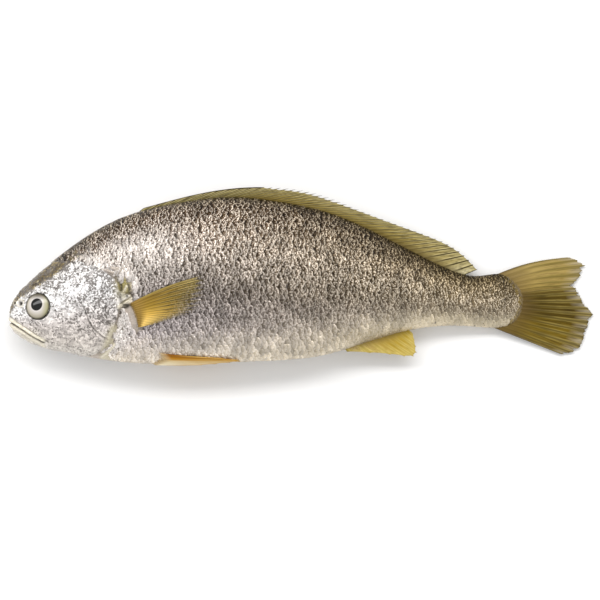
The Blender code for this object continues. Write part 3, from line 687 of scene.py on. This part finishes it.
# Horn plates over silver: to the eye, dark between the rims, where pigment shows through, and a
# cream line along each rim that is partly its pale edge and partly a painted highlight. Brown on
# the back, grey on the flank, pearl on the belly. The sizes of its specks, finer across than along,
# and of its clouds are in mm
SPECK_SIZE, PATCH_SIZE = 0.62, 9
horn = bpy.data.materials.new("wet_scale_horn")
horn.use_nodes = True
place = node(horn, "TexCoord").outputs["Object"]
height, along, tint, silver_and_highlight, rooted = [node(horn, "Attribute", attribute_name=name).outputs["Fac"]
                                      for name in ("height", "along", "tint", "silver_and_highlight", "rooted")]
x_place = node(horn, "SeparateXYZ", {"Vector": place}).outputs["X"]
rear = node(horn, "MapRange", {"Value": x_place, "From Min": -0.07, "From Max": 0.07})
zones = {
    "dark": ([(0, "c4b7a2"), (0.1, "aaa095"), (0.2, "5b5453"), (0.42, "2f2927"),
              (0.6, "2c2219"), (0.8, "22150c"), (1, "100803")],
             [(0, "cfc2a6"), (0.15, "a3967c"), (0.3, "4d4030"), (0.55, "241a09"),
              (0.8, "120b02"), (1, "090500")]),
    "middle": ([(0, "d8cbb8"), (0.1, "ccc0b5"), (0.2, "938a89"), (0.42, "534c4a"),
                (0.6, "80746a"), (0.8, "6f5c4b"), (0.93, "584330"), (1, "3a2b1c")],
               [(0, "d8c9ac"), (0.12, "c9bba0"), (0.3, "7f725e"), (0.55, "6d5d43"),
                (0.8, "44361e"), (1, "261c0a")]),
    "rim": ([(0, "ebe2d5"), (0.1, "dfd6ce"), (0.2, "d3c9c7"), (0.42, "a39a97"), (0.6, "e5dad1"),
             (0.8, "e8dcd1"), (0.93, "ecdfd1"), (1, "d0c0a4")],
            [(0, "d6cab2"), (0.3, "c6b8a2"), (0.55, "e2d2b9"), (0.8, "beab8a"),
             (0.93, "a5926e"), (1, "7a6a4a")])}
tones = {}
for zone, fore_and_rear in zones.items():
    fore, aft = [node(horn, "ValToRGB", {"Fac": height}, stops=stops) for stops in fore_and_rear]
    tones[zone] = node(horn, "Mix", {"Factor": rear, "A": fore, "B": aft}, data_type="RGBA")
upright = node(horn, "VectorMath", {0: place, 1: (1.3, 0.8, 0.8)}, operation="MULTIPLY")
speck = node(horn, "TexNoise", {"Vector": upright, "Scale": 1000 / SPECK_SIZE, "Detail": 2})
specks = node(horn, "SeparateColor", {"Color": speck.outputs["Color"]}).outputs
lowered = node(horn, "MapRange", {"Value": height, "From Min": 0.8, "To Min": -0.65,
                                  "To Max": -0.73})
wander = node(horn, "Math", {0: specks["Red"], 1: 1.3, 2: lowered}, operation="MULTIPLY_ADD")
place_on = node(horn, "Math", {0: along, 1: wander}, operation="ADD")
to_middle = node(horn, "MapRange", {"Value": place_on, "From Min": 0.58, "From Max": 0.76})
# Each rim's cream line: partly its pale edge, partly a painted highlight
to_rim_highlight = node(horn, "MapRange", {"Value": place_on, "From Min": 0.84, "From Max": 0.96})
faded = node(horn, "MapRange", {"Value": x_place, "From Min": 0.035, "From Max": 0.085,
                                "To Max": 0.7})
face_mask = node(horn, "Math", {0: to_middle, 1: faded}, operation="MAXIMUM")
# Painted highlight on the shoulder, and silver near the head, mixed over the scale tones
silver_and_highlight_share = node(horn, "Math", {0: silver_and_highlight, 1: 0.68}, operation="MULTIPLY")
silver_place = node(horn, "Math", {0: to_middle, 1: 0.3, 2: specks["Blue"]},
                    operation="MULTIPLY_ADD")
silver_and_highlight_tone = node(horn, "ValToRGB", {"Fac": silver_place}, stops=[
    (0.42, "3f3731"), (0.53, "80776f"), (0.66, "b3aaa3"), (0.85, "ebe4de")])
tone = tones["dark"]
for share, over in ((face_mask, tones["middle"]), (to_rim_highlight, tones["rim"]), (silver_and_highlight_share, silver_and_highlight_tone)):
    tone = node(horn, "Mix", {"Factor": share, "A": tone, "B": over}, data_type="RGBA")
cloud = node(horn, "TexNoise", {"Vector": place, "Scale": 1000 / PATCH_SIZE, "Detail": 1})
gain = node(horn, "MapRange", {"Value": tint, "From Min": -1, "To Min": 0.22, "To Max": 1.26})
clouds = node(horn, "MapRange", {"Value": cloud, "From Min": 0.3, "From Max": 0.7,
                                 "To Min": 0.78, "To Max": 1.22})
both = node(horn, "Math", {0: gain, 1: clouds}, operation="MULTIPLY")
varied = node(horn, "VectorMath", {0: tone, "Scale": both}, operation="SCALE")
root_place = node(horn, "Math", {0: specks["Green"], 1: rooted}, operation="ADD")
root_edge = node(horn, "MapRange", {"Value": root_place, "From Min": 0.55, "From Max": 1.1,
                                    "To Max": 0.88})
finned = node(horn, "Mix", {"Factor": root_edge, "A": varied, "B": linear("7f6b38")},
              data_type="RGBA")
ribbed = node(horn, "Bump", {"Height": specks["Green"], "Strength": 0.6, "Distance": 0.0004})
feed(horn, horn.node_tree.nodes["Principled BSDF"], {
    "Base Color": finned, "Normal": ribbed, "Metallic": 0.4, "Roughness": 0.32,
    "Specular IOR Level": 0.15})

for name, side, seed in (("scales_left", 1, 11), ("scales_right", -1, 12)):
    flank = scales(name, side, seed)
    flank.data.materials.append(horn)
    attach(flank, "root")


# Eyes. Each is a ball of clear jelly behind a cornea, held in its socket by a ring of skin. The
# iris is a pale, silvered ring round a round black pupil, with painted shade from the lid above
# and an olive rim behind.

EYE_DEPTH = 2.5
PUPIL_RADIUS = 3.0
PUPIL_SHIFT = (0.05, 0.75)
PUPIL_OVAL = (1.06, 1.03)
EYE_RINGS, EYE_TURNS = 46, 72
EYE_CUP = [(0.95, -1.2), (0.7, -2.2), (0.3, -EYE_DEPTH), (0.05, -EYE_DEPTH)]


def eyeball(name, side):
    """A cup below and a dome above, turned about the eye's axis: height by radius is a circle."""
    centre, axis = eye_place(side)
    across = np.cross([0, 1, 0], axis)
    across /= np.linalg.norm(across)
    upward = np.cross(axis, across)
    ball = (EYE_RADIUS ** 2 + EYE_PROUD ** 2) / (2 * EYE_PROUD)
    cup_part, cup_height = zip(*EYE_CUP)
    radius = np.linspace(0.02, 1, EYE_RINGS) * EYE_RADIUS
    dome = EYE_PROUD - ball + np.sqrt(ball ** 2 - radius ** 2)
    radius = np.append(radius, np.array(cup_part) * EYE_RADIUS)
    height = np.append(dome, cup_height)[:, None, None]
    turn = np.arange(EYE_TURNS) * 2 * math.pi / EYE_TURNS
    flat = np.stack([np.outer(radius, np.cos(turn)), np.outer(radius, np.sin(turn))], axis=-1)
    points = centre + flat[..., :1] * across + flat[..., 1:] * upward + height * axis
    poles = [centre + axis * EYE_PROUD, centre - axis * EYE_DEPTH]
    piece = round_piece(name, points, poles, -1)
    from_pupil = np.linalg.norm((flat - PUPIL_SHIFT) / PUPIL_OVAL, axis=-1)
    store(piece, "from_pupil", np.append(from_pupil, [0.4, 9]))
    for key, values in (("rearward", flat[..., 0]), ("upward", flat[..., 1]),
                        ("radius", np.repeat(radius, EYE_TURNS))):
        store(piece, key, np.append(values, [0, 0]))
    return piece


# Fresh, clear eye under a wet cornea: to the eye a jet pupil, a bright ring round it, a cream
# iris greyed at its upper edge by painted shade from the lid, and one soft lamp reflection.
iris = bpy.data.materials.new("wet_eye_iris")
iris.use_nodes = True
from_pupil, upward, rearward, radius = [
    node(iris, "Attribute", attribute_name=name).outputs["Fac"]
    for name in ("from_pupil", "upward", "rearward", "radius")]
ring_place = node(iris, "MapRange", {"Value": from_pupil, "From Max": 7.0})
tone = node(iris, "ValToRGB", {"Fac": ring_place}, stops=[
    (0, "0b0a0a"), (2.6 / 7, "0d0b0b"), (2.85 / 7, "4a4542"), (3.0 / 7, "dcd6d0"),
    (3.7 / 7, "c9c2bb"), (4.6 / 7, "bfb7aa"), (5.6 / 7, "a8a08f"), (1, "8f8775")])
# Painted lid shade above, olive behind and a dark rim: each starts and ends at these mm on the ball
for mm, start, end, share, code in ((upward, 3.0, 5.6, 0.9, "4d463a"),
                                    (rearward, 2.8, 5.2, 0.6, "9c9a68"),
                                    (radius, 5.5, 6.2, 0.8, "4a452e")):
    mask = node(iris, "MapRange", {"Value": mm, "From Min": start, "From Max": end,
                                   "To Max": share})
    tone = node(iris, "Mix", {"Factor": mask, "A": tone, "B": linear(code)}, data_type="RGBA")
pupil_mask = node(iris, "MapRange", {"Value": from_pupil, "From Min": PUPIL_RADIUS - 0.12,
                                     "From Max": PUPIL_RADIUS + 0.12})
with_pupil = node(iris, "Mix", {"Factor": pupil_mask, "A": linear("0c0b0b"), "B": tone},
                  data_type="RGBA")
feed(iris, iris.node_tree.nodes["Principled BSDF"], {
    "Base Color": with_pupil, "Roughness": 0.6, "Specular IOR Level": 0.0, "Coat Weight": 0.8,
    "Coat Roughness": 0.04})

for name, side in (("eye_left", 1), ("eye_right", -1)):
    ball = eyeball(name + "_ball", side)
    ball.data.materials.append(iris)
    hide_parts(name)
    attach(ball, "root")


# Back fin. Nine hard spines folded flat along the back, then thirty-four soft rays that lean to
# the tail, joined by a web. The web is thin olive skin, the rays dark gristle whose ends stand
# free of it.

BACK_FIN_RAYS = 44
BACK_FIN_SPINES = 9
# Rays by number, each with its root's x and its tip's x and y
BACK_FIN = [(0, -87, -79, 33.9), (3, -72, -54, 40.4), (9, -42, -19, 44.3), (15, -23, 4, 42),
            (24, 4, 31.6, 31.8), (33, 36, 60.8, 21), (39, 58, 79, 12.2), (43, 78.5, 88, 3.2)]
# How far the web reaches along a ray, by the ray's number
BACK_FIN_REACH = [(9, 0.965), (11, 0.87), (19, 0.88), (25, 0.94), (43, 0.96)]
BACK_FIN_ROOT = 2.2
# Half thickness of the web, of a ray at its root and of a ray at its tip
FIN_HALF = (0.10, 0.38, 0.2)
FIN_RIPPLE = 0.12
FIN_CLEARANCE = 0.01
RAY_WIDTH, RAY_END_WIDTH = 0.17, 0.11
FIN_FLESH_REACH = 0.24
STRIPS = 6
STEPS = 30


def read_keys(keys, number):
    """Splines through the columns of a ray list, read at these ray numbers."""
    keys = np.array(keys, float)
    return [smooth_curve(list(zip(keys[:, 0], column)))(number) for column in keys[:, 1:].T]


def fin_grid(rays, web_reach, fray=0.0):
    """Ray number, place along, and ridge on each ray; the web stops short of the rays' ends."""
    number = np.arange((rays - 1) * STRIPS + 1) / STRIPS
    offset = np.abs(number - np.round(number))
    web = np.interp(number, *zip(*web_reach))
    reach = web + (1 - web) * bell(offset / RAY_END_WIDTH)
    reach = reach - fray * np.random.default_rng(rays).uniform(0, 1, reach.shape) ** 2
    along = np.linspace(0, 1, STEPS)[None, :] * reach[:, None]
    whole = np.ones(along.shape)
    return number[:, None] * whole, along, bell(offset / RAY_WIDTH)[:, None] * whole


def half_thickness(along, ridge, sizes):
    """The web's half thickness, and on each ray one that goes evenly from its root to its tip."""
    web, ray_root, ray_tip = sizes
    return web + (ray_root + (ray_tip - ray_root) * along - web) * ridge


def fin_sheet(name, middle, half, out, number, along, ridge, clear=0.0):
    """A closed sheet: a top and a bottom grid half a thickness each side, joined at the rim."""
    top, bottom = middle + out * half[..., None], middle - out * half[..., None]
    index = np.arange(number.size).reshape(number.shape)
    rim = np.concatenate([index[:, 0], index[-1, 1:], index[-2::-1, -1], index[0, -2:0:-1]])
    under = rim + number.size
    side = np.stack([np.roll(rim, -1), rim, under, np.roll(under, -1)], axis=1)
    faces = np.vstack([quads(index)[:, ::-1], quads(index) + number.size, side])
    facing = np.cross(middle[1:, :-1] - middle[:-1, :-1], middle[:-1, 1:] - middle[:-1, :-1])
    if np.sum(facing * out[:-1, :-1]) < 0:
        faces = faces[:, ::-1]
    points = np.vstack([top.reshape(-1, 3), bottom.reshape(-1, 3)])
    points[:, 2] = np.maximum(points[:, 2], FIN_CLEARANCE)
    piece = new_piece(name, points, faces.tolist())
    for key, values in (("ray", ridge), ("along", along), ("number", number / number.max()),
                        ("clear", clear + 0 * along)):
        store(piece, key, np.tile(np.ravel(values), 2))
    return piece


def flat_fin(name, root, tip, bow, number, along, ridge, flesh=0.0):
    """A fin in the fish's middle plane: straight or bowed rays, and flesh that thins as a bell."""
    run = tip - root
    side = np.stack([-run[..., 1], run[..., 0]], axis=-1)
    side = side / np.linalg.norm(side, axis=-1, keepdims=True)
    plan = root + along[..., None] * run + (np.sin(math.pi * along) * bow)[..., None] * side
    middle = np.concatenate([plan, middle_plane(plan[..., :1])], axis=-1)
    middle[..., 2] += FIN_RIPPLE * np.sin(number * math.pi) * along
    half = half_thickness(along, ridge, FIN_HALF) + flesh * bell(along / FIN_FLESH_REACH)
    out = np.broadcast_to(np.array([0.0, 0.0, 1.0]), middle.shape)
    return fin_sheet(name, middle, half, out, number, along, ridge)


def fin_material(name, web_stops, root, tip, ray, light, ray_share=0.95, tip_from=0.6,
                 root_to=0.45, first_streaks=1.0):
    """Web colour by ray, tinted to its root and tip, with rays and fine streaks along them."""
    mat = bpy.data.materials.new(name)
    mat.use_nodes = True
    along, ridge, number, clear = [node(mat, "Attribute", attribute_name=key).outputs["Fac"]
                                   for key in ("along", "ray", "number", "clear")]
    near_root = node(mat, "MapRange", {"Value": along, "From Min": 0.1, "From Max": root_to,
                                       "To Min": 1, "To Max": 0})
    near_tip = node(mat, "MapRange", {"Value": along, "From Min": tip_from, "To Max": 0.9})
    beside = node(mat, "MapRange", {"Value": ridge, "From Min": 0.02, "From Max": 0.3})
    outward = node(mat, "MapRange", {"Value": along, "From Min": 0.3, "From Max": 0.65,
                                     "To Max": 0.8})
    lit = node(mat, "Math", {0: beside, 1: outward}, operation="MULTIPLY")
    grain_at = node(mat, "CombineXYZ", {"X": number, "Y": along})
    stretched = node(mat, "VectorMath", {0: grain_at, 1: (70, 3, 1)}, operation="MULTIPLY")
    grain = node(mat, "TexNoise", {"Vector": stretched, "Scale": 1.6, "Detail": 3})
    streak = node(mat, "MapRange", {"Value": grain, "From Min": 0.44, "From Max": 0.66,
                                    "To Max": 0.65})
    ray_edge = node(mat, "MapRange", {"Value": ridge, "From Min": 0.4, "From Max": 0.75,
                                      "To Max": ray_share})
    dark = node(mat, "Math", {0: streak, 1: ray_edge}, operation="MAXIMUM")
    grown = node(mat, "MapRange", {"Value": along, "From Min": 0.12, "From Max": 0.5,
                                   "To Min": 0.15})
    kept = node(mat, "MapRange", {"Value": number, "From Min": 0.2, "From Max": 0.45,
                                  "To Min": first_streaks})
    shown = node(mat, "Math", {0: grown, 1: kept}, operation="MULTIPLY")
    darkened = node(mat, "Math", {0: dark, 1: shown}, operation="MULTIPLY")
    tone = node(mat, "ValToRGB", {"Fac": number}, stops=web_stops)
    for share, code in ((near_root, root), (near_tip, tip), (lit, light), (darkened, ray)):
        tone = node(mat, "Mix", {"Factor": share, "A": tone, "B": linear(code)},
                    data_type="RGBA")
    cover = node(mat, "Math", {0: 1, 1: clear}, operation="SUBTRACT")
    feed(mat, mat.node_tree.nodes["Principled BSDF"], {
        "Base Color": tone, "Alpha": cover, "Roughness": 0.45, "Specular IOR Level": 0.1})
    return mat


number, along, ridge = fin_grid(BACK_FIN_RAYS, BACK_FIN_REACH)
folded = ease(BACK_FIN_SPINES + 0.5 - number)
whole = np.linspace(0, 1, STEPS)[None, :]
along = along + (whole - along) * folded
ridge = np.maximum(ridge, folded * ease((along - 0.86) / 0.1))
root_x, tip_x, tip_y = read_keys(BACK_FIN, number)
back_fin = flat_fin("back_fin", np.stack([root_x, back(root_x) - BACK_FIN_ROOT], axis=-1),
                    np.stack([tip_x, tip_y], axis=-1), 0.0, number, along, ridge)
# Thin fin skin over gristle: olive yellow and paler outward, with dark brown rays.
olive_web = fin_material(
    "olive_fin_web", [(0, "6b633f"), (0.2, "6f6333"), (0.33, "7c6a2c"), (0.8, "8d7b3e"),
                      (0.95, "a3935e"), (1, "c8bd98")],
    root="57471e", tip="a19564", ray="2c200a", light="c2b47e")
back_fin.data.materials.append(olive_web)
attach(back_fin, "root")


# Tail fin. Seventeen rays that fan out from the tail's root, with a dark edge above and below
# and frayed, pale ends. Gristle rays in a thin olive web, grown from the last flesh.

TAIL_TIPS = [(134.6, 9.4), (138.8, 7.9), (142.5, 5.2), (140, 0.3), (138.4, -2.9), (135.5, -4.7),
             (137.9, -6.1), (139.2, -8.6), (141.3, -12.8), (144.5, -16.5), (146.3, -19.4),
             (144.5, -23.6), (143.3, -28.1), (142, -31), (140.4, -35.6), (135.9, -38.9),
             (130.5, -39.5)]
TAIL_ROOT_X, TAIL_ROOT_BULGE = 93.0, 8.0
TAIL_ROOT_TOP, TAIL_ROOT_BOTTOM = -1.2, -24.8
TAIL_TOP_BOW = 2.2
TAIL_ROOT_FLESH = 2.3
TAIL_REACH, TAIL_FRAY = [(0, 0.99)], 0.05

rays = len(TAIL_TIPS)
number, along, ridge = fin_grid(rays, TAIL_REACH, TAIL_FRAY)
part = number / (rays - 1)
tip = np.stack([np.interp(number, np.arange(rays), values) for values in zip(*TAIL_TIPS)], axis=-1)
root = np.stack([TAIL_ROOT_X + TAIL_ROOT_BULGE * np.sin(math.pi * part),
                 TAIL_ROOT_TOP + (TAIL_ROOT_BOTTOM - TAIL_ROOT_TOP) * part], axis=-1)
bow = TAIL_TOP_BOW * np.clip(1 - 2 * part, 0, 1)
flesh = TAIL_ROOT_FLESH * np.sqrt(np.clip(1 - (2 * part - 1) ** 2, 0, 1))
tail_fin = flat_fin("tail_fin", root, tip, bow, number, along, ridge, flesh)
# The same skin, darker and thicker: deep olive across the middle rays, tan towards both edges.
dark_web = fin_material(
    "dark_olive_fin_web", [(0, "4a4232"), (0.03, "a68f54"), (0.3, "998144"), (0.42, "503f0a"),
                           (0.65, "4c3b05"), (0.8, "705a10"), (0.96, "6f5b1e"), (1, "4a4232")],
    root="6a5630", tip="a89d84", ray="241900", light="8c7a3c", ray_share=0.6, tip_from=0.8,
    first_streaks=0.6)
tail_fin.data.materials.append(dark_web)
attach(tail_fin, "root")


# Vent fin. Two spines and seven soft rays under the tail stem, folded to the rear. A yellow web,
# paler beside its rays and tan at its root.

VENT_FIN_RAYS = 9
# Rays by number, each with the x and y of its root and of its tip
VENT_FIN = [(0, 19, -33, 22.5, -38), (2, 31, -30.5, 44, -39.4), (4, 37.5, -28.5, 56, -40.4),
            (6, 44.5, -26.3, 57.2, -35.5), (8, 51.5, -25, 55.6, -29)]
VENT_FIN_REACH = [(0, 0.95)]

number, along, ridge = fin_grid(VENT_FIN_RAYS, VENT_FIN_REACH)
root_x, root_y, tip_x, tip_y = read_keys(VENT_FIN, number)
vent_fin = flat_fin("vent_fin", np.stack([root_x, root_y], axis=-1),
                    np.stack([tip_x, tip_y], axis=-1), 0.0, number, along, ridge)
# Yellow fin skin: to the eye it is butter yellow with tan at its root.
yellow_web = fin_material(
    "yellow_fin_web", [(0, "bfa97c"), (0.2, "b49a55"), (0.4, "ae9238"), (1, "b3973a")],
    root="a88f52", tip="c9b56b", ray="937922", light="d0bc6c", ray_share=0.5)
vent_fin.data.materials.append(yellow_web)
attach(vent_fin, "root")


# Breast fins, one behind each gill cover. Fifteen fanned rays from a fleshy pad, laid back along
# the flank: olive above, golden below. The lower one is pressed flat under the fish.

BREAST_FIN_RAYS, BREAST_FIN_UPPER_RAYS = 15, 6
BREAST_FIN = [(0, -86, -14, -47.3, 0.6), (3, -84.8, -16.4, -46.8, -6.5),
              (7, -83.4, -19.6, -50.7, -16.4), (11, -82.2, -23, -61.5, -20.9),
              (14, -81.6, -25.8, -71, -23.5)]
BREAST_FIN_REACH = [(0, 0.88), (6, 0.9), (9, 0.96)]
BREAST_FIN_FRAY = 0.03
BREAST_FIN_BOW = 1.7
BREAST_FIN_HEIGHT, BREAST_FIN_RISE = 1.3, 0.9
BREAST_FIN_HALF = (0.14, 0.5, 0.25)
BREAST_FIN_CLEARANCE = 0.03


def breast_fin(name, side):
    """A sheet at a height over the flank: a parabola lifts its tip a little off the scales."""
    number, along, ridge = fin_grid(BREAST_FIN_RAYS, BREAST_FIN_REACH, BREAST_FIN_FRAY)
    root_x, root_y, tip_x, tip_y = read_keys(BREAST_FIN, number)
    bow = BREAST_FIN_BOW * np.clip(1 - number / BREAST_FIN_UPPER_RAYS, 0, 1)
    x = root_x + along * (tip_x - root_x)
    y = root_y + along * (tip_y - root_y) + bow * np.sin(math.pi * along)
    z = flank_height(x, y, side) + side * (BREAST_FIN_HEIGHT + BREAST_FIN_RISE * along ** 2)
    half = half_thickness(along, ridge, BREAST_FIN_HALF)
    if side < 0:
        z = np.maximum(z, BREAST_FIN_CLEARANCE + half)
    middle = np.stack([x, y, z], axis=-1)
    out = np.broadcast_to(np.array([0.0, 0.0, 1.0]), middle.shape)
    # The web clears outward, more so in the golden lower part, and all of it at the very root
    web = 1 - ridge
    lower = ease((number + 1) / BREAST_FIN_UPPER_RAYS)
    clear = 0.4 * (1 - lower) * web + lower * (0.53 + 0.4 * web)
    clear = clear * ease((along - 0.25) / 0.55) + 0.5 * web * ease((along - 0.75) / 0.2)
    clear = np.clip(clear + 1 - ease(along / 0.05), 0, 1)
    return fin_sheet(name, middle, half, out, number, along, ridge, clear)


# Thicker fin skin: olive brown rays over a golden web, browner at the root.
golden_web = fin_material(
    "golden_fin_web", [(0, "b8a35e"), (0.05, "8a6e2c"), (0.3, "9f8030"), (0.5, "d8b052"),
                       (0.8, "f4d078"), (1, "eac670")],
    root="96783a", tip="b9a868", ray="2c2008", light="d8c078", root_to=0.2)
for name, side in (("breast_fin_left", 1), ("breast_fin_right", -1)):
    fin = breast_fin(name, side)
    fin.data.materials.append(golden_web)
    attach(fin, "root")


# Belly fins, a pair folded back along the keel. One spine and five soft rays each, orange where
# they lie on the flank and cream by the keel.

BELLY_FIN_RAYS = 6
# Rays by number, each with the x of its root and tip, each followed by its turn in degrees
BELLY_FIN = [(0, -73, 149, -40, 158.5), (1, -73, 155.5, -31.5, 163), (3, -74, 162, -36, 168),
             (5, -76, 172, -50, 174.5)]
BELLY_FIN_REACH = [(0, 0.95)]
BELLY_FIN_HEIGHT, BELLY_FIN_RISE = 0.75, 0.2
BELLY_FIN_TUCK, BELLY_FIN_TUCK_REACH = 1.3, 0.07
BELLY_FIN_HALF = (0.14, 0.45, 0.25)


def belly_fin(name, side):
    """A sheet laid round the belly's skin, its height growing to its tip, its root tucked in."""
    number, along, ridge = fin_grid(BELLY_FIN_RAYS, BELLY_FIN_REACH)
    root_x, root_turn, tip_x, tip_turn = read_keys(BELLY_FIN, number)
    x = root_x + along * (tip_x - root_x)
    turn = np.radians(root_turn + along * (tip_turn - root_turn)) * side
    out = skin_normal(x, turn)
    half = half_thickness(along, ridge, BELLY_FIN_HALF)
    height = BELLY_FIN_HEIGHT + BELLY_FIN_RISE * along
    height -= BELLY_FIN_TUCK * bell(along / BELLY_FIN_TUCK_REACH)
    middle = skin_point(x, turn) + out * height[..., None]
    return fin_sheet(name, middle, half, out, number, along, ridge, 1 - ease(along / 0.18))


# Soft fin skin stained orange, over cream gristle.
orange_web = fin_material(
    "orange_fin_web", [(0, "8a5608"), (0.12, "a56c0e"), (0.27, "cd9530"), (0.42, "ead3a0"),
                       (1, "f6eaca")],
    root="d6bb8c", tip="b98a34", ray="a8700f", light="dcb768", ray_share=0.25, tip_from=0.8,
    root_to=0.2)
for name, side in (("belly_fin_left", 1), ("belly_fin_right", -1)):
    fin = belly_fin(name, side)
    fin.data.materials.append(orange_web)
    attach(fin, "root")


# Stage. A wide white table, one big soft lamp beyond the fish's back, and a pale room. The camera
# looks straight down from far off through a long lens, as in the photograph.

# The picture in millimetres, the table and the lamp in metres, the lamp's tilt in degrees
PICTURE_CENTRE = (-1.0, -12.1)
PICTURE_WIDTH = 300.0
LENS = 400.0
CAMERA_RAISED = 15
TABLE_HALF = 3.0
LAMP_SIZE, LAMP_ENERGY = (6.4, 0.6), 68
LAMP_AT, LAMP_TILT = (-1.5, 1.19, 1.78), -40
ROOM_STRENGTH = 0.88

corners = [(-1, -1), (1, -1), (1, 1), (-1, 1)]
floor = bpy.data.meshes.new("table")
floor.from_pydata([(TABLE_HALF * a, TABLE_HALF * b, 0) for a, b in corners], [], [(0, 1, 2, 3)])
table = bpy.data.objects.new("table", floor)
bpy.context.scene.collection.objects.link(table)
# White laminate, matt: to the eye plain white that takes a soft shadow.
laminate = bpy.data.materials.new("white_laminate")
laminate.use_nodes = True
feed(laminate, laminate.node_tree.nodes["Principled BSDF"], {
    "Base Color": linear("f6f5f4"), "Roughness": 0.9})
floor.materials.append(laminate)

lamp_data = bpy.data.lights.new("soft_box", "AREA")
lamp_data.shape = "RECTANGLE"
lamp_data.size, lamp_data.size_y = LAMP_SIZE
lamp_data.energy = LAMP_ENERGY
lamp = bpy.data.objects.new("soft_box", lamp_data)
lamp.location = LAMP_AT
lamp.rotation_euler = (math.radians(LAMP_TILT), 0, 0)
bpy.context.scene.collection.objects.link(lamp)

room = bpy.data.worlds.new("pale_room")
room.use_nodes = True
feed(room, room.node_tree.nodes["Background"], {"Color": linear("f4f5f6"),
                                                "Strength": ROOM_STRENGTH})
bpy.context.scene.world = room
bpy.context.scene.view_settings.view_transform = "Standard"

camera_data = bpy.data.cameras.new("camera")
camera_data.lens = LENS
camera = bpy.data.objects.new("camera", camera_data)
distance = PICTURE_WIDTH * LENS / camera_data.sensor_width
camera.location = (PICTURE_CENTRE[0] * MM, PICTURE_CENTRE[1] * MM, (distance + CAMERA_RAISED) * MM)
camera_data.clip_end = 20
bpy.context.scene.collection.objects.link(camera)
bpy.context.scene.camera = camera
